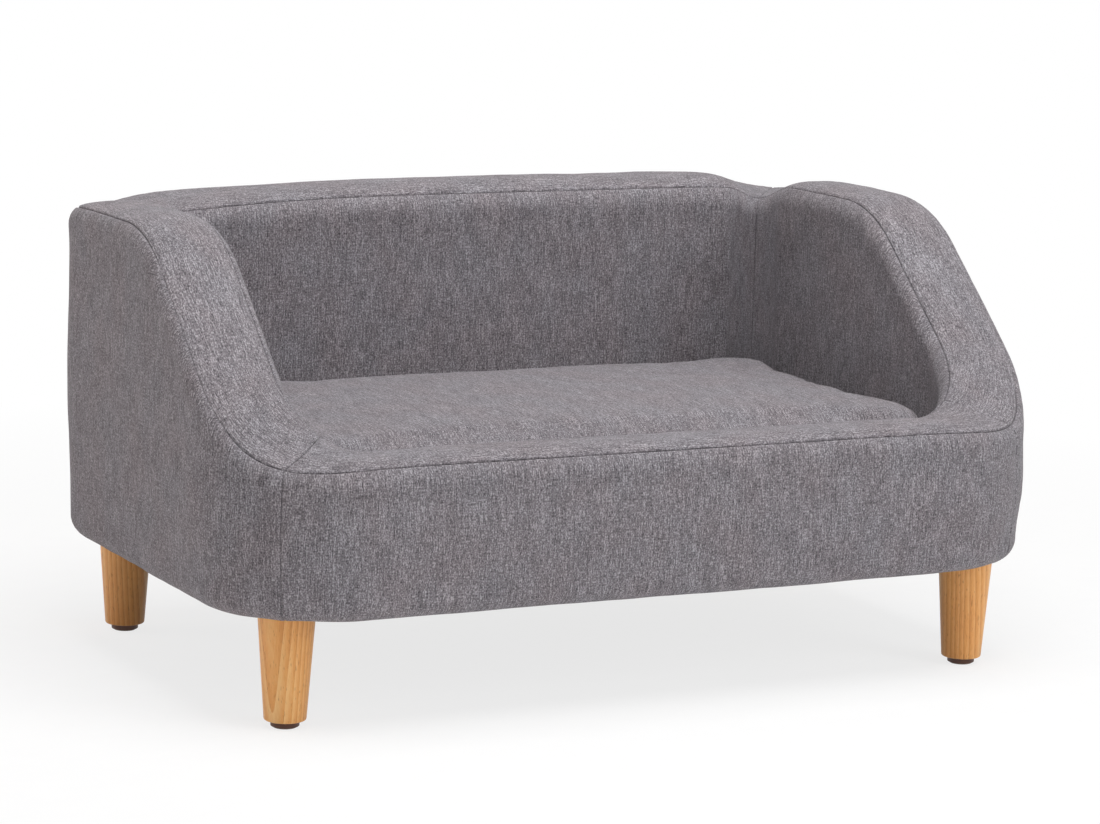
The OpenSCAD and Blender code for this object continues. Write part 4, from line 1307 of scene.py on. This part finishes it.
    def _run(self, co: Vector) -> float:
        """Distance along the outline from the middle of the front side."""
        r, corner = self.corner_r, self._corner(co)
        straight, side = self.high.x - r, self.high.y - self.low.y - 2 * r
        quarter = r * math.pi / 2
        x, y = abs(co.x) - abs(corner.x), co.y - corner.y
        if abs(corner.x) < straight - TOUCH:
            in_front = co.y < (self.low.y + self.high.y) / 2
            return abs(co.x) if in_front else 2 * (straight + quarter) + side - abs(co.x)
        if self.low.y + r < corner.y - TOUCH and corner.y < self.high.y - r - TOUCH:
            return straight + quarter + corner.y - self.low.y - r
        turn = math.atan2(max(x, 0.0), abs(y)) / QUARTER
        if y <= 0:
            return straight + quarter * turn
        return straight + quarter + side + quarter * (1 - turn)

    def _weave_place(self, co: Vector, centre: Vector, seams: list[float]) -> tuple[float, float]:
        """Flat cloth coordinate of a point.

        Args:
            co: The point.
            centre: Middle of the face that it belongs to.
            seams: Heights of the two seams.

        Returns:
            The boxing along its run, or the top or bottom unrolled outwards, in metres.
        """
        if seams[0] < centre.z < seams[1]:
            return math.copysign(self._run(co), centre.x), co.z
        above = centre.z > seams[1]
        corner = self._corner(co)
        out = Vector((co.x, co.y, 0.0)) - corner
        unrolled = max(0.0, self.high.z - self.crown - co.z if above else co.z - self.low.z)
        if out.length > TOUCH:
            out *= 1 + unrolled / out.length
        return corner.x + out.x, corner.y + out.y + (0.0 if above else self.under_shift)


@dataclass
class TurnedParts:
    """Legs, glides and felt pads, turned about their own axes."""

    paint: Paint
    steps: int = 72
    foot_r: float = 0.017
    foot_soft: float = 0.0016
    leg_rings: int = 18
    recess: float = 0.0015
    glide_soft: float = 0.0008
    lip: float = 0.0004
    lip_low: float = 0.0016
    lip_high: float = 0.0010
    pad_gap: float = 0.0018
    pad_soft: float = 0.0007

    def build(self) -> list[Obj]:
        """Builds the four legs, their glides and the felt pads."""
        pieces = []
        pads = bmesh.new()
        for corner in ("front_left", "front_right", "back_left", "back_right"):
            low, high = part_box(f"leg_{corner}")
            centre = Vector(((low.x + high.x) / 2, (low.y + high.y) / 2, 0.0))
            pieces.append(self._leg(corner, centre, low.z, high.z, (high.x - low.x) / 2))
            pieces.append(self._glide(corner, centre))
            self._pad(pads, centre)
        pads_piece = finish_mesh(pads, "glide_pads_felt", self.paint.felt, 40.0)
        return pieces + [attach(pads_piece, Body.SOFA, "glide_pads")]

    def _turn(self, bm: Bm, centre: Vector, profile: Sequence[tuple[float, float]]) -> None:
        """Spins a profile of (radius, height) points into a closed turned solid."""
        verts = [bm.verts.new((centre.x + r, centre.y, z)) for r, z in profile]
        edges = [bm.edges.new(pair) for pair in zip(verts, verts[1:])]
        bmesh.ops.spin(bm, geom=verts + edges, cent=centre, axis=(0.0, 0.0, 1.0),
                       angle=2 * math.pi, steps=self.steps, use_merge=True)
        bmesh.ops.remove_doubles(bm, verts=bm.verts[:], dist=TOUCH)
        bmesh.ops.recalc_face_normals(bm, faces=bm.faces[:])

    def _soft_edge(self, r: float, z: float, soft: float) -> list[tuple[float, float]]:
        """Profile points of a rounded lower edge."""
        turns = (QUARTER * i / 4 for i in range(5))
        return [(r - soft * (1 - math.sin(a)), z + soft * (1 - math.cos(a))) for a in turns]

    def _leg(self, corner: str, centre: Vector, low: float, high: float, top_r: float) -> Obj:
        """Tapered leg with a softly broken edge at its foot."""
        foot_r, soft = self.foot_r, self.foot_soft
        profile = [(0.0, low), (foot_r - 2 * soft, low)] + self._soft_edge(foot_r, low, soft)
        for i in range(1, self.leg_rings):
            s = i / self.leg_rings
            profile.append((foot_r + (top_r - foot_r) * s, low + soft + (high - low - soft) * s))
        profile += [(top_r, high), (top_r * 0.6, high), (0.0, high)]
        bm = bmesh.new()
        self._turn(bm, centre, profile)
        leg = finish_mesh(bm, f"leg_{corner}_turned", self.paint.beech, 50.0)
        return attach(leg, Body.SOFA, f"leg_{corner}")

    def _glide(self, corner: str, centre: Vector) -> Obj:
        """Moulded glide: a rounded dish with a recess for its felt pad."""
        low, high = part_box(f"glide_{corner}")
        r, ceiling = (high.x - low.x) / 2, low.z + self.recess
        rim = r - self.recess
        profile = [(0.0, ceiling), (rim, ceiling), (rim, low.z + 0.0001)]
        profile += self._soft_edge(r, low.z, self.glide_soft)
        profile += [(r, high.z - self.lip_low), (r + self.lip, high.z - self.lip_high),
                    (r + self.lip, high.z), (0.0, high.z)]
        bm = bmesh.new()
        self._turn(bm, centre, profile)
        glide = finish_mesh(bm, f"glide_{corner}_moulded", self.paint.glide, 40.0)
        return attach(glide, Body.SOFA, f"glide_{corner}")

    def _pad(self, bm: Bm, centre: Vector) -> None:
        """Felt disc with a worn, rounded rim."""
        low, high = (corner.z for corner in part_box("glide_pads"))
        glide_low, glide_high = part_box("glide_front_left")
        r = (glide_high.x - glide_low.x) / 2 - self.pad_gap
        rim = self._soft_edge(r, low, self.pad_soft)
        self._turn(bm, centre, [(0.0, low)] + rim + [(r, high), (0.0, high)])


@dataclass(frozen=True)
class Sheet:
    """A thin sheet of cloth: its node, finish, support, round corners and unevenness."""

    node: str
    finish: Material
    slot: str
    support: str
    corner_r: float
    sag: float


@dataclass
class ClothSheets:
    """The deck cloth under the cushion and the dust cover under the base board."""

    paint: Paint
    step: float = 0.012
    wave: float = 0.06
    hem: float = 0.02
    thickness: float = 0.0009

    def build(self) -> list[Obj]:
        deck = Sheet("deck_cloth", self.paint.deck, "deck_cloth", "seat_pad", 0.033, -0.0008)
        dust = Sheet("dust_cover", self.paint.dust, "black_nonwoven", "base_board", 0.076, 0.0010)
        return [self._sheet(deck), self._sheet(dust)]

    def _sheet(self, sheet: Sheet) -> Obj:
        """Thin sheet as large as its node, with round corners and a slight unevenness."""
        low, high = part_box(sheet.node)
        size, middle = high - low, (high + low) / 2
        bm = bmesh.new()
        bmesh.ops.create_grid(bm, x_segments=round(size.x / self.step),
                              y_segments=round(size.y / self.step), size=0.5)
        for vert in bm.verts:
            x, y = self._rounded(vert.co.x * size.x, vert.co.y * size.y, size, sheet.corner_r)
            wave = noise.noise(Vector((x, y, 0.0)) / self.wave) * 0.5 + 0.5
            edge = min(1.0, min(size.x / 2 - abs(x), size.y / 2 - abs(y)) / self.hem)
            vert.co = middle + Vector((x, y, sheet.sag * wave * edge))
        bmesh.ops.solidify(bm, geom=bm.faces[:], thickness=min(self.thickness, size.z / 2))
        bmesh.ops.recalc_face_normals(bm, faces=bm.faces[:])
        piece = finish_mesh(bm, f"{sheet.node}_sheet", sheet.finish, 60.0)
        attach(piece, Body.SOFA, sheet.node)
        return piece

    def _rounded(self, x: float, y: float, size: Vector, r: float) -> tuple[float, float]:
        """Squeezes a rectangle's point into a rectangle with round corners."""
        grow = max(abs(x) / (size.x / 2), abs(y) / (size.y / 2))
        if x == 0 or y == 0:
            return x, y
        inner_x, inner_y = size.x / 2 - r, size.y / 2 - r
        ex, ey = abs(x) / grow, abs(y) / grow
        dx, dy = ex - inner_x, ey - inner_y
        if dx > 0 and dy > 0:
            squeeze = max(dx, dy) / math.hypot(dx, dy)
            ex, ey = inner_x + dx * squeeze, inner_y + dy * squeeze
        return math.copysign(ex * grow, x), math.copysign(ey * grow, y)


@dataclass
class RearZip:
    """Zip on the cushion's rear side: tape, toothed chain, slider and pull."""

    paint: Paint
    pitch: float = 0.0021
    tooth_half: float = 0.2
    overlap: float = 0.0006
    cord: float = 0.0012
    tape_sink: float = 0.0002
    core_half: float = 0.0008
    core_t: float = 0.0007
    plate: float = 0.0017
    wall: float = 0.0014
    edge: float = 0.0004
    loop_depth: float = 0.0021
    loop_half: float = 0.0009
    loop_from: float = 0.0016
    loop_to: float = 0.0025
    pull_r: float = 0.0022
    pull_rim: float = 0.0013

    def build(self) -> list[Obj]:
        """Builds the tape, the chain, the slider and the pull."""
        return [self._tape(), self._chain(), self._slider(), self._pull()]

    def _tape(self) -> Obj:
        """Woven tape: a thin strip with a raised cord along each edge."""
        low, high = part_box("zip_tape")
        bm = bmesh.new()
        box(bm, low, Vector((high.x, high.y - self.tape_sink, high.z)))
        box(bm, low, Vector((high.x, high.y, low.z + self.cord)))
        box(bm, Vector((low.x, low.y, high.z - self.cord)), high)
        piece = finish_mesh(bm, "zip_tape_woven", self.paint.tape, 30.0)
        return attach(piece, Body.CUSHION, "zip_tape")

    def _chain(self) -> Obj:
        """Two rows of interlocking coil turns on a thin stitched core."""
        low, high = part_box("zip_chain")
        bm = bmesh.new()
        middle, half = (low.z + high.z) / 2, self.pitch * self.tooth_half
        box(bm, Vector((low.x, low.y, middle - self.core_half)),
            Vector((high.x, low.y + self.core_t, middle + self.core_half)))
        for i in range(int((high.x - low.x) / self.pitch)):
            for side in (-1, 1):
                x = low.x + self.pitch * (i + 0.5) + side * self.pitch / 4
                near, far = middle - side * self.overlap, middle + side * (high.z - low.z) / 2
                box(bm, Vector((x - half, low.y, min(near, far))),
                    Vector((x + half, high.y, max(near, far))))
        piece = finish_mesh(bm, "zip_chain_coils", self.paint.coil, 30.0)
        return attach(piece, Body.CUSHION, "zip_chain")

    def _slider(self) -> Obj:
        """Die-cast slider with softened edges, a channel for the chain and a loop."""
        low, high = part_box("zip_slider")
        loop_low, floor = high.y - self.loop_depth, low.y + self.plate
        bm = bmesh.new()
        box(bm, Vector((low.x, floor, low.z)), Vector((high.x, loop_low, high.z)))
        for z0, z1 in ((low.z, low.z + self.wall), (high.z - self.wall, high.z)):
            box(bm, Vector((low.x, low.y, z0)), Vector((high.x, floor, z1)))
        bevel(bm, [e for e in bm.edges if e.calc_length() > 2 * self.edge], self.edge, 2)
        x, z = (low.x + high.x) / 2, (low.z + high.z) / 2
        near, far = self.loop_from, self.loop_to
        for y, z0, z1 in ((loop_low, near, far), (loop_low, -far, -near),
                          (high.y - self.loop_half, -far, far)):
            box(bm, Vector((x - self.loop_half, y, z + z0)),
                Vector((x + self.loop_half, high.y, z + z1)))
        piece = finish_mesh(bm, "zip_slider_cast", self.paint.nickel, 35.0)
        return attach(piece, Body.ZIP_SLIDER, "zip_slider")

    def _pull(self) -> Obj:
        """Flat pull with round ends, hung from the slider's loop."""
        low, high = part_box("zip_pull")
        bm = bmesh.new()
        box(bm, low, high)
        bevel(bm, [e for e in bm.edges if abs(e.verts[0].co.y - e.verts[1].co.y) > 0.0005],
              self.pull_r, 5)
        flat = [f for f in bm.faces if abs(f.normal.y) > 0.9]
        bmesh.ops.inset_individual(bm, faces=flat, thickness=self.pull_rim)
        inner = [f for f in bm.faces if abs(f.normal.y) > 0.9 and len(f.verts) > 4]
        rims = [e for f in inner for e in f.edges]
        bmesh.ops.delete(bm, geom=inner, context="FACES_ONLY")
        bmesh.ops.bridge_loops(bm, edges=rims)
        bmesh.ops.recalc_face_normals(bm, faces=bm.faces[:])
        piece = finish_mesh(bm, "zip_pull_stamped", self.paint.nickel, 35.0)
        return attach(piece, Body.ZIP_SLIDER, "zip_pull")


@dataclass
class HiddenParts:
    """CAD nodes that keep their shape and only take a finish."""

    paint: Paint

    def dress(self) -> None:
        """Gives every kept node its material."""
        boards = ["base_board", "side_panel_left", "side_panel_right", "back_panel", "front_panel",
                  "corner_post_front_left", "corner_post_front_right", "corner_post_back_left",
                  "corner_post_back_right"]
        metal = ["frame_screws", "leg_bolts", "tee_nuts", "glide_nails", "dust_cover_staples"]
        for material, nodes in ((self.paint.board, boards), (self.paint.zinc, metal),
                                (self.paint.foam, ["seat_pad"])):
            for node in nodes:
                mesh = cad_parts[node].data
                mesh.materials.clear()
                mesh.materials.append(material)
                LOG.info("%s: %s", node, material.name)


@dataclass(frozen=True)
class Panel:
    """A large soft light: its name, place, aim, width, power and tint."""

    name: str
    place: Triple
    aim: Triple
    size: float
    watts: float
    tint: Triple

    def build(self) -> None:
        """Hangs the light in the scene."""
        data = bpy.data.lights.new(self.name, "AREA")
        data.shape = "SQUARE"
        data.size = self.size
        data.energy = self.watts
        data.color = self.tint
        light = bpy.data.objects.new(self.name, data)
        light.location = self.place
        way = Vector(self.place) - Vector(self.aim)
        light.rotation_euler = way.to_track_quat("Z", "Y").to_euler()
        bpy.context.scene.collection.objects.link(light)


@dataclass
class Studio:
    """Pale floor, soft light and the camera at the photograph's view."""

    frame_width: int = 1100
    sensor: float = 36.0
    focal_px: float = 3757.2
    scale: float = 0.00105
    place: Triple = (-1368.8, -2698.9, 712.1)
    azimuth: float = math.radians(-26.919)
    elevation: float = math.radians(9.763)
    roll: float = math.radians(1.62)
    shift_px: tuple[float, float] = (1.58, 5.0)
    fill: float = 0.22
    floor_half: float = 14.0
    panels: tuple[Panel, ...] = (
        Panel("overhead", (0.0, -0.5, 2.3), (0.0, 0.0, 0.2), 1.8, 49.5, (1.0, 0.995, 0.99)),
        Panel("side_left", (-2.4, 1.3, 0.85), (0.0, 0.0, 0.25), 1.6, 13.0, (1.0, 0.85, 0.79)),
        Panel("front_right", (1.7, -2.6, 1.6), (0.0, 0.0, 0.25), 1.5, 26.5, (0.98, 0.99, 1.0)))

    def build(self) -> None:
        """Sets up everything that isn't the object."""
        self._camera()
        self._floor()
        for panel in self.panels:
            panel.build()
        self._world()
        bpy.context.scene.view_settings.view_transform = "Standard"

    def _camera(self) -> None:
        """Camera solved from the photograph's legs and seams."""
        data = bpy.data.cameras.new("photo_camera")
        data.sensor_width = self.sensor
        data.lens = self.focal_px / self.frame_width * data.sensor_width
        data.shift_x, data.shift_y = (s / self.frame_width for s in self.shift_px)
        data.clip_end = 50.0
        camera = bpy.data.objects.new("photo_camera", data)
        level = math.cos(self.elevation)
        back = Vector((math.sin(self.azimuth) * level, -math.cos(self.azimuth) * level,
                       math.sin(self.elevation)))
        right = (-back).cross(Vector((0.0, 0.0, 1.0))).normalized()
        up = back.cross(right)
        cos, sin = math.cos(self.roll), math.sin(self.roll)
        axes = right * cos + up * sin, up * cos - right * sin, back
        matrix = Matrix(axes).transposed().to_4x4()
        matrix.translation = Vector(self.place) * self.scale
        camera.matrix_world = matrix
        bpy.context.scene.collection.objects.link(camera)
        bpy.context.scene.camera = camera

    def _floor(self) -> None:
        """Wide pale floor that shows white and keeps the sofa's shadow."""
        bm = bmesh.new()
        bmesh.ops.create_grid(bm, x_segments=1, y_segments=1, size=self.floor_half)
        g = MaterialGraph("studio_floor")
        place = g.place
        tint = g.ramp(g.layer(place, alike(30.0)), (0.3, srgb(244, 244, 244)),
                      (0.7, srgb(248, 248, 248)))
        g.set(Base_Color=tint, Roughness=0.9, Specular_IOR_Level=0.1)
        far = g.add("VectorMath", {0: place}, operation="LENGTH").outputs["Value"]
        path = g.add("LightPath").outputs
        seen = g.math("MAXIMUM", path["Is Camera Ray"], path["Is Glossy Ray"])
        seen = g.math("MAXIMUM", seen, path["Is Transmission Ray"])
        share = g.math("MULTIPLY", seen, g.level(far, 0.5, 1.3, 0.78, 1.0))
        glow = g.add("Emission", {"Color": WHITE}).outputs[0]
        mix = g.add("MixShader", {0: share, 1: g.shader.outputs["BSDF"], 2: glow})
        g.wire(g.surface, mix.outputs[0])
        finish_mesh(bm, "studio_floor", g.material)

    def _world(self) -> None:
        """Pale surroundings: a soft fill for the object, white where the camera looks past it."""
        world = bpy.data.worlds.new("studio")
        bpy.context.scene.world = world
        g = Graph(world, "OutputWorld")
        path = g.add("LightPath").outputs
        seen = g.math("MAXIMUM", path["Is Camera Ray"], path["Is Glossy Ray"])
        fill, shown = (g.add("Background", {"Color": WHITE, "Strength": strength}).outputs[0]
                       for strength in (self.fill, 1.0))
        g.wire(g.surface, g.add("MixShader", {0: seen, 1: fill, 2: shown}).outputs[0])


def main() -> None:
    """Builds and dresses the sofa, then its studio."""
    logging.basicConfig(level=logging.INFO, format="%(name)s: %(message)s")
    form = SofaForm.from_frame()
    paint = Paint()
    for side in Side:
        PaddedWall(form, side, paint).build()
    SeatCushion(paint).build()
    TurnedParts(paint).build()
    ClothSheets(paint).build()
    RearZip(paint).build()
    HiddenParts(paint).dress()
    Studio().build()


if __name__ == "__main__":
    main()
